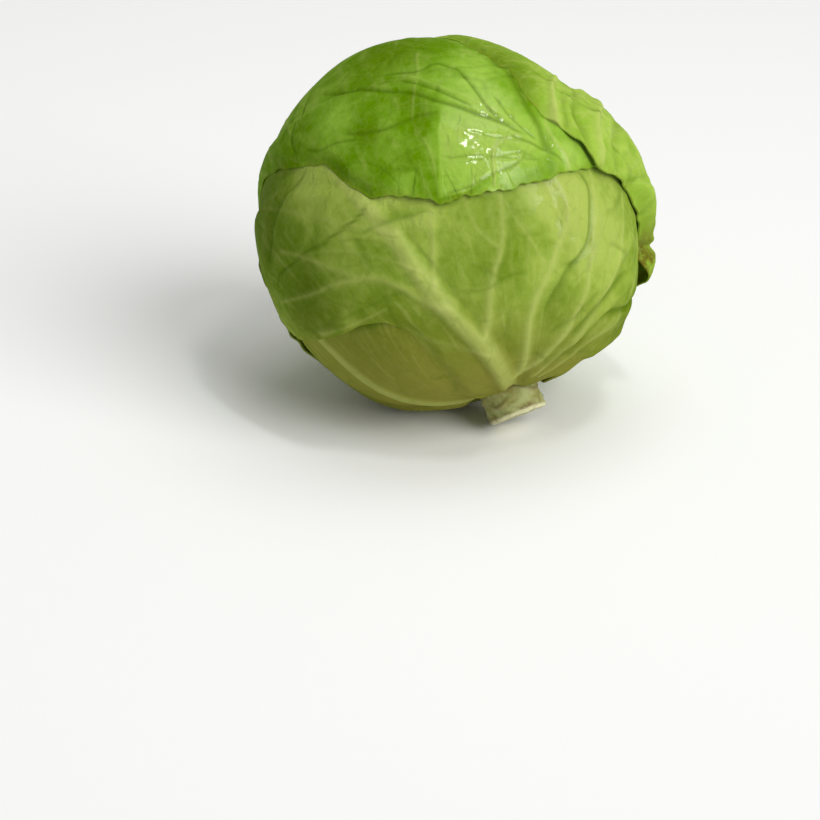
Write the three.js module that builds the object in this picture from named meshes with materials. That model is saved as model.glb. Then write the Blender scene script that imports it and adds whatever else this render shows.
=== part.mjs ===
// A round green cabbage head lying on the shoulder beside its cut stump: a dense heart, the stump,
// and the wrapper leaves that fold over the heart one on top of another, each a separate thin solid.
//
// Millimetres and degrees. +Z is up and the surface is z = 0. The origin is the middle of the small
// flat spot that the head rests on, and the centre of the heart is straight above it.
//
// Every surface is a radius measured from the centre of the heart along a direction. A direction is
// given by its polar angle from the stump (0 at the stump, 180 at the crown) and its azimuth round
// the head's axis (0 at the front, 90 at the right, 180 at the back).
import * as THREE from "three";
import { mergeVertices } from "three/addons/utils/BufferGeometryUtils.js";

// ---------------------------------------------------------------- driving dimensions
const HEART_RADIUS = 74.4; // at its widest
const BLADE = 1.0; // thickness of a leaf between its ribs
const GAP = 0.85; // free space between two leaves that lie on each other
const CENTRE_HEIGHT = 79; // from the surface up to the centre of the heart
const REST_LAYERS = 2; // leaves between the heart and the surface at the flat spot
const STUMP_LEAN = 34.7; // how far the stump leans out from straight down
const STUMP_HEADING = 39.3; // where the stump points, round +Z from -Y towards +X
const FRONT_RISE = 22; // azimuth 0 faces -Y, raised by this much before it is squared to the axis
const STUMP_RADIUS = 12.5;
const STUMP_LENGTH = 14;
const SPARE = 3; // how far a leaf is felt past its margin by those that lie over it
const FADE = 8; // and the arc over which it is then felt less and less

// ---------------------------------------------------------------- small maths
const rad = THREE.MathUtils.degToRad;
const deg = THREE.MathUtils.radToDeg;
const clamp = THREE.MathUtils.clamp;
const smooth = (t) => clamp(t, 0, 1) ** 2 * (3 - 2 * clamp(t, 0, 1)); // 0 to 1 with level ends
const bump = (x, middle, width) => Math.exp(-(((x - middle) / width) ** 2));

// The head's own axes: towards the stump, towards azimuth 0 and towards azimuth 90.
const STUMPWARD = new THREE.Vector3(
  Math.sin(rad(STUMP_LEAN)) * Math.sin(rad(STUMP_HEADING)),
  -Math.sin(rad(STUMP_LEAN)) * Math.cos(rad(STUMP_HEADING)),
  -Math.cos(rad(STUMP_LEAN)),
);
const FRONTWARD = new THREE.Vector3(0, -Math.cos(rad(FRONT_RISE)), Math.sin(rad(FRONT_RISE)));
FRONTWARD.addScaledVector(STUMPWARD, -FRONTWARD.dot(STUMPWARD)).normalize();
const RIGHTWARD = new THREE.Vector3().crossVectors(FRONTWARD, STUMPWARD);
const DOWNWARD = new THREE.Vector3(0, 0, -1);

// Unit vector of a polar angle and an azimuth.
function direction([polar, azimuth]) {
  return STUMPWARD.clone().multiplyScalar(Math.cos(rad(polar)))
    .addScaledVector(FRONTWARD, Math.sin(rad(polar)) * Math.cos(rad(azimuth)))
    .addScaledVector(RIGHTWARD, Math.sin(rad(polar)) * Math.sin(rad(azimuth)));
}

// Arc between two unit vectors.
const arcBetween = (a, b) => deg(Math.acos(clamp(a.dot(b), -1, 1)));

// A point at a radius from the centre of the heart.
function place(way, radius) {
  return way.clone().multiplyScalar(radius).setZ(way.z * radius + CENTRE_HEIGHT);
}

// ---------------------------------------------------------------- the shape of the heart
// Broad swells of the ball: where, how wide, and by what share of its radius.
const SWELLS = [
  { at: [40, 80], width: 30, share: 0.03 },
  { at: [160, -70], width: 38, share: 0.055 },
  { at: [98, -95], width: 34, share: 0.02 },
  { at: [120, 87], width: 26, share: -0.025 },
];

// Radius of the heart: a ball with those swells, a full shoulder round the stump, a dimple at the
// stump, shallow dents, and flat where the head rests.
function heartRadius(way) {
  const polar = arcBetween(way, STUMPWARD);
  let shape = 1 + 0.04 * bump(polar, 42, 18) - 0.065 * bump(polar, 0, 15);
  for (const { at, width, share } of SWELLS) shape += share * bump(arcBetween(way, direction(at)), 0, width);
  const { x, y, z } = way;
  shape += 0.007 * Math.sin(5.1 * x + 2.3 * z + 1.0) * Math.cos(4.3 * y - 1.7 * z)
    + 0.004 * Math.sin(9.0 * y + 6.0 * x - 0.5) * Math.cos(8.0 * z + 2.0);
  const free = HEART_RADIUS * shape;
  if (z > -0.5) return free;
  const flat = (CENTRE_HEIGHT - REST_LAYERS * (BLADE + GAP) - 0.15) / -z;
  const soft = 0.6; // how wide the edge of the flat spot is rounded
  return free - soft * Math.log(1 + Math.exp((free - flat) / soft));
}

// ---------------------------------------------------------------- leaves
// A leaf is laid out on a sheet that touches the head at the leaf's middle: x runs from the stump
// to the tip, y to the right, and a point of the sheet lies as far from the middle as the point of
// the head that it stands for. The margin and the midrib are given by points of the head that they
// pass through, the midrib's from the stump to the tip.
class Leaf {
  constructor({ name, colour, middle, margin, midrib, rib, wave, bulges = [], cell = 7.5 }) {
    Object.assign(this, { name, colour, rib, wave, bulges, cell });
    const from = direction(midrib[0]);
    this.middle = direction(middle);
    this.along = this.middle.clone().multiplyScalar(from.dot(this.middle)).sub(from).normalize();
    this.right = new THREE.Vector3().crossVectors(this.along, this.middle);
    const through = (points, closed, count) => new THREE.CatmullRomCurve3(
      points.map((p) => new THREE.Vector3(...this.toSheet(direction(p)), 0)), closed, "centripetal",
    ).getSpacedPoints(count);
    this.margin = through(margin, true, 160).slice(0, -1);
    this.marginWays = this.margin.map((p) => this.fromSheet(p.x, p.y));
    this.midrib = through(midrib, false, 30);
  }

  fromSheet(x, y) {
    const arc = Math.hypot(x, y) || 1e-9, s = Math.sin(rad(arc)) / arc;
    return this.middle.clone().multiplyScalar(Math.cos(rad(arc)))
      .addScaledVector(this.along, s * x)
      .addScaledVector(this.right, s * y);
  }

  toSheet(way) {
    const arc = arcBetween(way, this.middle);
    const x = way.dot(this.along), y = way.dot(this.right), h = Math.hypot(x, y) || 1e-9;
    return [(arc * x) / h, (arc * y) / h];
  }

  // Arc from a direction to the margin, below 0 inside the leaf, with the share of the way round.
  outside(way) {
    const [x, y] = this.toSheet(way), n = this.margin.length;
    let inside = false, best = -2, nearest = 0;
    for (let i = 0, j = n - 1; i < n; j = i++) {
      const a = this.margin[i], b = this.margin[j];
      if (a.y > y !== b.y > y && x < ((b.x - a.x) * (y - a.y)) / (b.y - a.y) + a.x) inside = !inside;
      const near = way.dot(this.marginWays[i]);
      if (near > best) [best, nearest] = [near, i];
    }
    const arc = deg(Math.acos(Math.min(1, best)));
    return [inside ? -arc : arc, nearest / n];
  }

  // Share of the leaf's length at x, 0 at the stump and 1 at the tip, and y of the midrib there.
  share(x) {
    const [from, to] = [this.midrib[0].x, this.midrib.at(-1).x];
    return clamp((x - from) / (to - from), 0, 1);
  }

  ribLine(x) {
    const k = clamp(this.midrib.findIndex((p) => p.x > x), 1, this.midrib.length - 1);
    const [a, b] = [this.midrib[k - 1], this.midrib[k]];
    return x > b.x ? b.y : a.y + (b.y - a.y) * clamp((x - a.x) / (b.x - a.x), 0, 1);
  }

  // Height of the midrib above the blade, or with spread, as it is felt by those that lie over it.
  ribHeight(x, y, spread) {
    const share = this.share(x);
    const taper = (0.5 + 0.5 * smooth(share / 0.1)) * (1 - smooth((share - 0.12) / 0.75));
    const half = (this.rib.width / 2) * (1 - 0.6 * share);
    const off = Math.abs(y - this.ribLine(x)) / half;
    const side = spread ? 1 - smooth((off * half - half - 1.5) / 6) : Math.max(0, 1 - off ** 1.6);
    return this.rib.height * taper * side;
  }

  // How much this leaf is felt at a direction: 1 over the leaf, fading to 0 past its margin.
  felt(way) {
    return 1 - smooth((this.outside(way)[0] - SPARE) / FADE);
  }

  // How much this leaf raises those that lie over it.
  raises(way) {
    const felt = this.felt(way);
    return felt && felt * (BLADE + GAP + this.ribHeight(...this.toSheet(way), true));
  }

  // How far the leaf stands off: small waves along its margin and a few places that bulge outward,
  // but nothing where the head rests.
  lift(way) {
    const [out, share] = this.outside(way);
    const wave = this.wave.height * (1 + Math.sin(2 * Math.PI * this.wave.count * share)) / 2;
    return smooth((arcBetween(way, DOWNWARD) - 14) / 10) * this.bulges.reduce(
      (lift, { at, height, width }) => lift + height * bump(arcBetween(way, direction(at)), 0, width),
      smooth(1 + out / 12) * wave,
    );
  }
}

// The leaves from the innermost to the outermost. Points are [polar, azimuth].
const leaves = [
  new Leaf({
    name: "leaf_inner_left", colour: 0x8f9c58, middle: [62, -62],
    margin: [[11.4, -55], [11.4, -25], [24, -8], [45, -6], [70, -14], [95, -20], [110, -50], [108, -82],
      [92, -104], [66, -108], [44, -106], [24, -98], [11.4, -86]],
    midrib: [[11.4, -55], [40, -60], [75, -66], [108, -70]],
    rib: { height: 2.6, width: 8 }, wave: { height: 0.6, count: 7 },
  }),
  new Leaf({
    name: "leaf_inner_right", colour: 0xa3b55c, middle: [62, 78],
    margin: [[11.4, 62], [11.4, 93], [24, 118], [44, 128], [66, 126], [92, 116], [108, 90], [108, 60],
      [92, 40], [66, 40], [44, 30], [24, 26], [11.4, 34]],
    midrib: [[11.4, 62], [40, 72], [75, 78], [106, 76]],
    rib: { height: 2.6, width: 8 }, wave: { height: 1.2, count: 9 },
  }),
  new Leaf({
    name: "leaf_front", colour: 0x8fa83e, middle: [92, -8], cell: 7,
    margin: [[11.4, 4], [11.4, 34], [22, 56], [36, 78], [52, 84], [66, 88], [76, 96], [90, 92], [104, 80],
      [118, 58], [128, 28], [134, -10], [133, -52], [125, -86], [108, -104], [92, -108], [80, -101],
      [73, -84], [69, -62], [67, -47], [66, -34], [58, -26], [46, -25], [34, -28], [22, -34], [11.4, -26]],
    midrib: [[11.4, 4], [41, -1], [62, -8], [75, -11], [88, -14], [100, -20], [118, -32], [133, -42]],
    rib: { height: 3.5, width: 9.5 }, wave: { height: 0.5, count: 11 },
    bulges: [{ at: [70, -46], height: 2, width: 12 }, { at: [50, 86], height: 1, width: 12 }],
  }),
  new Leaf({
    name: "leaf_cap", colour: 0x6f9d20, middle: [135, 176],
    margin: [[11.4, 172], [11.4, -156], [24, -132], [48, -120], [75, -114], [98, -106], [114, -92],
      [123, -66], [119, -46], [115, -31], [108, -26], [100, -18], [95, -6], [90, 2], [88, 18], [87, 32],
      [87, 47], [84, 66], [76, 92], [64, 114], [46, 128], [28, 136], [11.4, 140]],
    midrib: [[11.4, 172], [36, 162], [64, 164], [110, 172], [150, 172], [170, 60], [140, 22], [116, 11],
      [94, -4]],
    rib: { height: 3.0, width: 9 }, wave: { height: 0.9, count: 13 },
  }),
  new Leaf({
    name: "leaf_back_left", colour: 0x84a438, middle: [74, -142], cell: 6.8,
    margin: [[11.4, -112], [11.4, -81], [22, -86], [38, -95], [56, -96], [76, -98], [96, -99], [112, -106],
      [126, -126], [132, -150], [124, -172], [106, 178], [84, 180], [60, -176], [40, 178], [26, -176],
      [16, -160], [11.4, -142]],
    midrib: [[11.4, -112], [40, -122], [80, -138], [110, -148], [131, -152]],
    rib: { height: 2.8, width: 9 }, wave: { height: 1.6, count: 10 },
  }),
  new Leaf({
    name: "leaf_right", colour: 0x98bb46, middle: [98, 108], cell: 7,
    margin: [[11.4, 118], [11.4, 88], [28, 94], [44, 102], [52, 103], [56, 95], [61, 92], [68, 87], [73, 77],
      [79, 71], [83, 61], [86, 53], [92, 50], [99, 46], [107, 42], [116, 42], [129, 46], [144, 50],
      [160, 74], [168, 150], [152, 176], [126, 172], [98, 166], [74, 160], [50, 154], [28, 150],
      [11.4, 148]],
    midrib: [[11.4, 118], [50, 124], [90, 116], [124, 96], [158, 76]],
    rib: { height: 3.0, width: 9 }, wave: { height: 1.2, count: 12 },
    bulges: [
      { at: [72, 84], height: 5.5, width: 12 }, { at: [60, 94], height: 7, width: 9 },
      { at: [90, 86], height: 3.6, width: 15 }, { at: [94, 50], height: 2, width: 7 },
    ],
  }),
];

// Radius of the inner face of a leaf: the heart, and each leaf further in that lies below it there.
function innerRadius(way, order) {
  const below = leaves.slice(0, order);
  return below.reduce((radius, leaf) => radius + leaf.raises(way), heartRadius(way) + GAP);
}

// The sheet of a leaf as triangles, cut along its margin: a grid whose middle column is the midrib,
// with corners that are almost on the margin moved onto it, and cells across the margin cut short.
function cutSheet(leaf) {
  const { cell } = leaf;
  const xs = leaf.margin.map((p) => p.x), ys = leaf.margin.map((p) => p.y);
  const low = Math.min(...xs) - 0.4 * cell, rows = Math.ceil((Math.max(...xs) - low) / cell) + 1;
  const offsets = [0, 4.2, 4.2 + 0.85 * cell];
  while (offsets.at(-1) < Math.max(...ys.map(Math.abs)) + cell + 12) offsets.push(offsets.at(-1) + cell);
  const across = [...offsets.slice(1).map((y) => -y).reverse(), ...offsets];
  const points = [], outs = [];
  for (let i = 0; i <= rows; i++)
    for (const offset of across) {
      let x = low + i * cell, y = offset + leaf.ribLine(x) * bump(offset, 0, 40);
      let out = leaf.outside(leaf.fromSheet(x, y))[0];
      if (Math.abs(out) < 0.3 * cell) {
        const reach = (p) => (p.x - x) ** 2 + (p.y - y) ** 2;
        const near = leaf.margin.reduce((a, b) => (reach(b) < reach(a) ? b : a));
        [x, y, out] = [near.x, near.y, 0];
      }
      points.push([x, y]);
      outs.push(out);
    }
  // Where the edge from a to b crosses the margin: a new point, the same one for both its triangles.
  const cuts = new Map();
  const cut = (a, b) => {
    const key = a < b ? `${a} ${b}` : `${b} ${a}`;
    if (!cuts.has(key)) {
      let t = outs[a] / (outs[a] - outs[b]);
      const at = (k) => points[a][k] + (points[b][k] - points[a][k]) * t;
      for (let pass = 0; pass < 2; pass++) {
        const out = leaf.outside(leaf.fromSheet(at(0), at(1)))[0];
        t = clamp(t - out / (outs[b] - outs[a]), 0.1, 0.9);
      }
      cuts.set(key, points.push([at(0), at(1)]) - 1);
    }
    return cuts.get(key);
  };
  const faces = [];
  const keep = (...corners) => {
    if (corners.every((k) => outs[k] === 0)) {
      const [x, y] = [0, 1].map((k) => corners.reduce((sum, c) => sum + points[c][k] / 3, 0));
      if (leaf.outside(leaf.fromSheet(x, y))[0] < 0) faces.push(corners);
    } else if (corners.some((k) => outs[k] < 0)) {
      const shape = corners.flatMap((a, k) => {
        const b = corners[(k + 1) % 3];
        return [...(outs[a] <= 0 ? [a] : []), ...(outs[a] * outs[b] < 0 ? [cut(a, b)] : [])];
      });
      for (let k = 2; k < shape.length; k++) faces.push([shape[0], shape[k - 1], shape[k]]);
    }
  };
  const wide = across.length;
  for (let i = 0; i < rows; i++)
    for (let j = 0; j + 1 < wide; j++) {
      const a = i * wide + j, b = a + wide;
      keep(a, a + 1, b + 1);
      keep(a, b + 1, b);
    }
  // Only the points that a face uses, numbered afresh.
  const used = [...new Set(faces.flat())];
  const fresh = new Map(used.map((k, i) => [k, i]));
  return { points: used.map((k) => points[k]), faces: faces.map((face) => face.map((k) => fresh.get(k))) };
}

// Raises points until the flat facets between them stand clear of a radius given by floor.
function clearFacets(faces, ways, radii, floor) {
  const middle = new THREE.Vector3();
  for (let pass = 0; pass < 3; pass++) {
    const raise = radii.map(() => 0);
    for (const face of faces)
      for (const picked of [face, ...face.map((_, k) => face.filter((_, m) => m !== k))]) {
        middle.set(0, 0, 0);
        for (const k of picked) middle.addScaledVector(ways[k], radii[k] / picked.length);
        const radius = middle.length();
        const short = floor(middle.divideScalar(radius)) - radius;
        for (const k of picked) raise[k] = Math.max(raise[k], short);
      }
    raise.forEach((more, k) => (radii[k] += more));
  }
}

// The solid of a leaf: an outer and an inner face cut alike, joined along the margin. Points of the
// outer face that all but touch the surface are pressed flat on it.
function leafSolid(leaf, order) {
  const { points, faces } = cutSheet(leaf);
  const ways = points.map(([x, y]) => leaf.fromSheet(x, y));
  const above = leaves.slice(order + 1);
  const radii = ways.map((way) => {
    const exposed = above.reduce((share, other) => share * (1 - other.felt(way)), 1);
    return innerRadius(way, order) + (exposed && exposed * leaf.lift(way));
  });
  clearFacets(faces, ways, radii, (way) => innerRadius(way, order) - 0.25 * GAP);
  const inner = ways.map((way, k) => place(way, radii[k]));
  const outer = ways.map((way, k) => {
    const top = place(way, radii[k] + BLADE + leaf.ribHeight(...points[k], false));
    if (top.z < 0.4) top.z = 0;
    return top;
  });
  return shell(outer, inner, faces);
}

// Closed geometry from two sets of points with the same faces, the outer set first.
function shell(outer, inner, faces) {
  const back = outer.length;
  const edges = new Map(); // each edge of the faces that has no face on its other side
  for (const face of faces)
    face.forEach((a, k) => {
      const b = face[(k + 1) % 3];
      if (!edges.delete(`${b} ${a}`)) edges.set(`${a} ${b}`, [a, b]);
    });
  const index = faces.flatMap(([a, b, c]) => [a, b, c, a + back, c + back, b + back]);
  for (const [a, b] of edges.values()) index.push(a, a + back, b + back, a, b + back, b);
  const geometry = new THREE.BufferGeometry().setFromPoints([...outer, ...inner]);
  geometry.setIndex(index);
  return geometry;
}

// ---------------------------------------------------------------- heart and stump
function heartSolid() {
  const geometry = new THREE.SphereGeometry(1, 40, 26);
  geometry.deleteAttribute("normal");
  geometry.deleteAttribute("uv");
  const ball = mergeVertices(geometry);
  const points = ball.getAttribute("position");
  const way = new THREE.Vector3();
  for (let i = 0; i < points.count; i++) {
    way.fromBufferAttribute(points, i).normalize();
    points.setXYZ(i, ...place(way, heartRadius(way)).toArray());
  }
  return ball;
}

// The cut stalk, from just under the heart to its flat cut end, with rounded edges.
function stumpSolid() {
  let start = 0; // the depth of the deepest point of the heart that the stalk covers
  for (let polar = 0; polar <= 12; polar += 2)
    for (let azimuth = 0; azimuth < 360; azimuth += 30) {
      const way = direction([polar, azimuth]);
      start = Math.max(start, way.dot(STUMPWARD) * heartRadius(way) + 0.4);
    }
  const end = start + STUMP_LENGTH, r = STUMP_RADIUS;
  const profile = [
    [0, start], [r - 1.5, start], [r, start + 1.5], [r - 0.6, end - 6], [r, end - 1.6],
    [r - 1, end - 0.3], [r - 2.4, end], [0, end],
  ].map(([x, y]) => new THREE.Vector2(x, y));
  const stalk = new THREE.LatheGeometry(profile, 20);
  const lean = new THREE.Quaternion().setFromUnitVectors(new THREE.Vector3(0, 1, 0), STUMPWARD);
  return stalk.applyQuaternion(lean).translate(0, 0, CENTRE_HEIGHT);
}

// ---------------------------------------------------------------- assembly
const cabbage = new THREE.Group();
cabbage.name = "cabbage_head";

function add(name, geometry, colour, roughness) {
  const material = new THREE.MeshStandardMaterial({ color: colour, roughness, metalness: 0 });
  const mesh = new THREE.Mesh(geometry, material);
  mesh.name = name;
  cabbage.add(mesh);
}

add("heart", heartSolid(), 0xc3cd86, 0.6);
add("stump", stumpSolid(), 0xcfc79a, 0.7);
leaves.forEach((leaf, order) => add(leaf.name, leafSolid(leaf, order), leaf.colour, 0.45));

export default cabbage;
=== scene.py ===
"""A round green cabbage head: the heart, the cut stump and six wrapper leaves. Each leaf is a closed
shell with its ribs, veins, creases and crinkled margin.

Shapes are worked out in millimetres and degrees, and go into the meshes in metres. Every surface is a
radius measured from the centre of the heart along a way, which is a unit vector. A way is given as
[polar, azimuth]: its angle from the stump, and its turn about the stump's axis (0 front, 90 right,
180 back).
"""

import bpy
import numpy as np
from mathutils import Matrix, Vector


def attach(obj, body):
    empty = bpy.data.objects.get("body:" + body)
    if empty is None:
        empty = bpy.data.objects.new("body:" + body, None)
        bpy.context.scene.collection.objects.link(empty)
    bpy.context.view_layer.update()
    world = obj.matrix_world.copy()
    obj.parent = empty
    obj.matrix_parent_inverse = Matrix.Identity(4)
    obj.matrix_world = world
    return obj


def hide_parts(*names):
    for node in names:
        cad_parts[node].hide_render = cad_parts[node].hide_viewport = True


bl_info = {
    "name": "Cabbage head",
    "version": (1, 0, 0),
    "blender": (4, 5, 0),
    "location": "3D View > Sidebar > Cabbage",
    "description": "Builds the wrapper leaves, heart and stump of a round green cabbage",
    "category": "Add Mesh",
}

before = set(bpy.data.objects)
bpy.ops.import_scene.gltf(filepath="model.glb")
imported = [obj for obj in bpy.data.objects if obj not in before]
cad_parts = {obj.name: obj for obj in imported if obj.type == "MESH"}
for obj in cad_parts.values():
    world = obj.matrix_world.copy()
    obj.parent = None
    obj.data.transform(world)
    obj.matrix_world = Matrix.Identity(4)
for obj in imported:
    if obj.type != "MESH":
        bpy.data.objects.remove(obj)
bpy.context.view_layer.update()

# ------------------------ sizes shared by the pieces (mm, degrees)
MM_PER_M = 1000
HEART_RADIUS = 74.4
SKIN_RADIUS = 80.0  # the head's outer radius, which turns arcs into lengths
CENTRE = np.array([0.0, 0.0, 79.0])  # of the heart, above the floor
STUMP_RADIUS = 12.5
STUMP_LENGTH = 14.0
STUMP_LEAN = 34.7  # how far the stump leans out from straight down
STUMP_HEADING = 39.3  # how far it then points from the front to the right
FRONT_RISE = 22.0  # how far azimuth 0 looks up
BLADE = 1.0  # thickness of a leaf, as those over it feel it
GAP = 0.85  # between a leaf and what it lies on
SINK = 0.8  # how far a leaf may come down into that gap
REST_LAYERS = 2  # leaves between the heart and the floor
SPARE = 1.2  # how far past its margin a leaf is felt in full by those over it
FADE = 4.0  # and the arc over which it is then felt less and less
WAVE_REACH = 12.0  # how far in from the margin its waves go
HUG_REACH = 14.0  # how far in a margin that hugs lies close
RIM_REACH = 5.0  # how far in a margin sits down, curls and crinkles
THIN_REACH = 4.0  # how far in a leaf is thinner


# ------------------------ small maths
def smooth(t):
    """0 to 1 with level ends: t squared times three less two t, with t held between 0 and 1."""
    t = np.clip(t, 0.0, 1.0)
    return t * t * (3.0 - 2.0 * t)


def bell(x, width, middle=0.0):
    """1 at the middle: e to the power of minus the square of the distance over the width."""
    return np.exp(-(((x - middle) / width) ** 2))


def faded(share, start=0.15, stop=0.15):
    """1 along a line, fading to 0 over the first and the last shares of it."""
    return smooth(share / start) * smooth((1 - share) / stop)


def rimward(out, reach):
    """1 at a leaf's margin, fading to 0 by reach degrees inside it. out is below 0 inside."""
    return smooth(1 + out / reach)


def unit(v):
    """v divided by its length."""
    return v / np.linalg.norm(v, axis=-1, keepdims=True)


lean, heading, rise = np.radians([STUMP_LEAN, STUMP_HEADING, FRONT_RISE])
STUMPWARD = np.array([np.sin(lean) * np.sin(heading), -np.sin(lean) * np.cos(heading), -np.cos(lean)])
FRONTWARD = np.array([0.0, -np.cos(rise), np.sin(rise)])
FRONTWARD = unit(FRONTWARD - STUMPWARD * (FRONTWARD @ STUMPWARD))
RIGHTWARD = np.cross(FRONTWARD, STUMPWARD)
DOWNWARD = np.array([0.0, 0.0, -1.0])


def directions(points):
    """Ways of [polar, azimuth] points: the cosine of polar along the stump, and its sine shared between
    front and right by the cosine and sine of azimuth."""
    polar, azimuth = np.radians(np.asarray(points, float).reshape(-1, 2)).T[..., None]
    return np.cos(polar) * STUMPWARD + np.sin(polar) * (
        np.cos(azimuth) * FRONTWARD + np.sin(azimuth) * RIGHTWARD
    )


def arc_from(ways, axis):
    """Arc in degrees between each way and one axis."""
    return np.degrees(np.arccos(np.clip(ways @ axis, -1.0, 1.0)))


def spots(ways, places):
    """Sum of bells on the head. A place is the bell's point, its width in degrees, and its height where
    that isn't 1."""
    total = np.zeros(len(ways))
    for spot in places:
        point, width, height = (*spot, 1.0)[:3]
        total += height * bell(arc_from(ways, directions(point)[0]), width)
    return total


def spline(points, closed, count):
    """Centripetal Catmull-Rom curve through the points, cut into count equal lengths: on each span a
    cubic whose end slopes weigh the neighbouring chords by the square root of their lengths."""
    p = np.asarray(points, float)
    if closed:
        p = np.vstack([p[-1:], p, p[:2]])
    else:
        p = np.vstack([2 * p[0] - p[1], p, 2 * p[-1] - p[-2]])
    a, b, c, d = p[:-3], p[1:-2], p[2:-1], p[3:]
    chords = [np.linalg.norm(chord, axis=1) for chord in (b - a, c - b, d - c)]
    k0, k1, k2 = (np.maximum(np.sqrt(chord), 1e-3)[:, None] for chord in chords)
    start = k1 * ((b - a) / k0 - (c - a) / (k0 + k1) + (c - b) / k1)
    stop = k1 * ((c - b) / k1 - (d - b) / (k1 + k2) + (d - c) / k2)
    u = np.linspace(0, 1, 40, endpoint=False)[None, :, None]
    b, c, start, stop = b[:, None], c[:, None], start[:, None], stop[:, None]
    path = b + start * u + (3 * (c - b) - 2 * start - stop) * u**2 + (2 * (b - c) + start + stop) * u**3
    path = np.vstack([path.reshape(-1, p.shape[1]), p[-2]])
    length = np.concatenate([[0], np.cumsum(np.linalg.norm(np.diff(path, axis=0), axis=1))])
    at = np.linspace(0, length[-1], count + 1)
    return np.stack([np.interp(at, length, axis) for axis in path.T], axis=1)


def noise(points, cell, seed):
    """Smooth value noise from -1 to 1: random values on a lattice of that cell size, which repeats after
    32 cells, blended between a cell's eight corners with level ends."""
    side, offset = 32, 16.37
    table = np.random.RandomState(seed).uniform(-1, 1, (side, side, side))
    p = points / cell + offset
    low = np.floor(p).astype(int)
    t = smooth(p - low)
    total = 0.0
    for corner in np.ndindex(2, 2, 2):
        weight = np.prod(np.where(corner, t, 1 - t), axis=-1)
        total = total + weight * table[tuple((low + corner).T % side)]
    return total


def rough(points, order, layers):
    """Sum of noises. A layer is its height and the size of its cells in millimetres, and its seed, to
    which the leaf's order is added so that no two leaves are alike."""
    return sum(height * noise(points, cell, seed + order) for height, cell, seed in layers)


# ------------------------ the shape of the heart
SWELLS = [([40, 80], 30, 0.03), ([160, -70], 38, 0.055), ([98, -95], 34, 0.02), ([120, 87], 26, -0.025)]


def heart_radius(ways):
    """Radius of the heart: a ball with a full shoulder round the stump, a dimple at the stump, broad
    swells and shallow dents. It is flat where the head rests, by a soft minimum with a level plane on
    the ways that look down by more than half."""
    polar = arc_from(ways, STUMPWARD)
    x, y, z = ways.T
    shoulder, dimple = 0.04 * bell(polar, 18, 42), 0.065 * bell(polar, 15)
    dent_and_crease_shade = 0.007 * np.sin(5.1 * x + 2.3 * z + 1.0) * np.cos(4.3 * y - 1.7 * z)
    ripples = 0.004 * np.sin(9.0 * y + 6.0 * x - 0.5) * np.cos(8.0 * z + 2.0)
    free = HEART_RADIUS * (1 + shoulder - dimple + spots(ways, SWELLS) + dent_and_crease_shade + ripples)
    clearance, blend, down = 0.15, 0.6, 0.5
    flat = (CENTRE[2] - REST_LAYERS * (BLADE + GAP) - clearance) / np.maximum(-z, down)
    pressed = free - blend * np.log1p(np.exp(np.minimum((free - flat) / blend, 60)))
    return np.where(z > -down, free, pressed)


def place(ways, radius):
    """Points at a radius from the centre of the heart, in millimetres, never below the floor."""
    points = ways * radius[:, None] + CENTRE
    points[:, 2] = np.maximum(points[:, 2], 0.0)
    return points


# ------------------------ lines on the head
def near_line(ways, line, reach=14.0):
    """Distance in millimetres from each way to a line of ways, above 0 on its right and below 0 on its
    left as seen from outside, and the share of the line passed there. Each way is dropped onto every
    segment and the nearest foot is kept. Ways further off than reach get a large distance."""
    middle, far = unit(line.mean(axis=0)), 99.0
    spread = np.arccos(np.clip(line @ middle, -1, 1)).max() + reach / SKIN_RADIUS
    close = np.flatnonzero(ways @ middle > np.cos(min(spread, np.pi)))
    distance, share = np.full(len(ways), far), np.zeros(len(ways))
    if not len(close):
        return distance, share
    start, step = line[:-1], np.diff(line, axis=0)
    offset = ways[close, None, :] - start
    t = np.clip((offset * step).sum(-1) / (step * step).sum(-1), 0, 1)
    gap = np.linalg.norm(offset - t[..., None] * step, axis=-1)
    best = gap.argmin(axis=1)
    rows = np.arange(len(close))
    side = np.sign((np.cross(step[best], offset[rows, best]) * ways[close]).sum(-1))
    distance[close] = gap[rows, best] * SKIN_RADIUS * np.where(side > 0, -1, 1)
    share[close] = (best + t[rows, best]) / len(step)
    return distance, share


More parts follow.
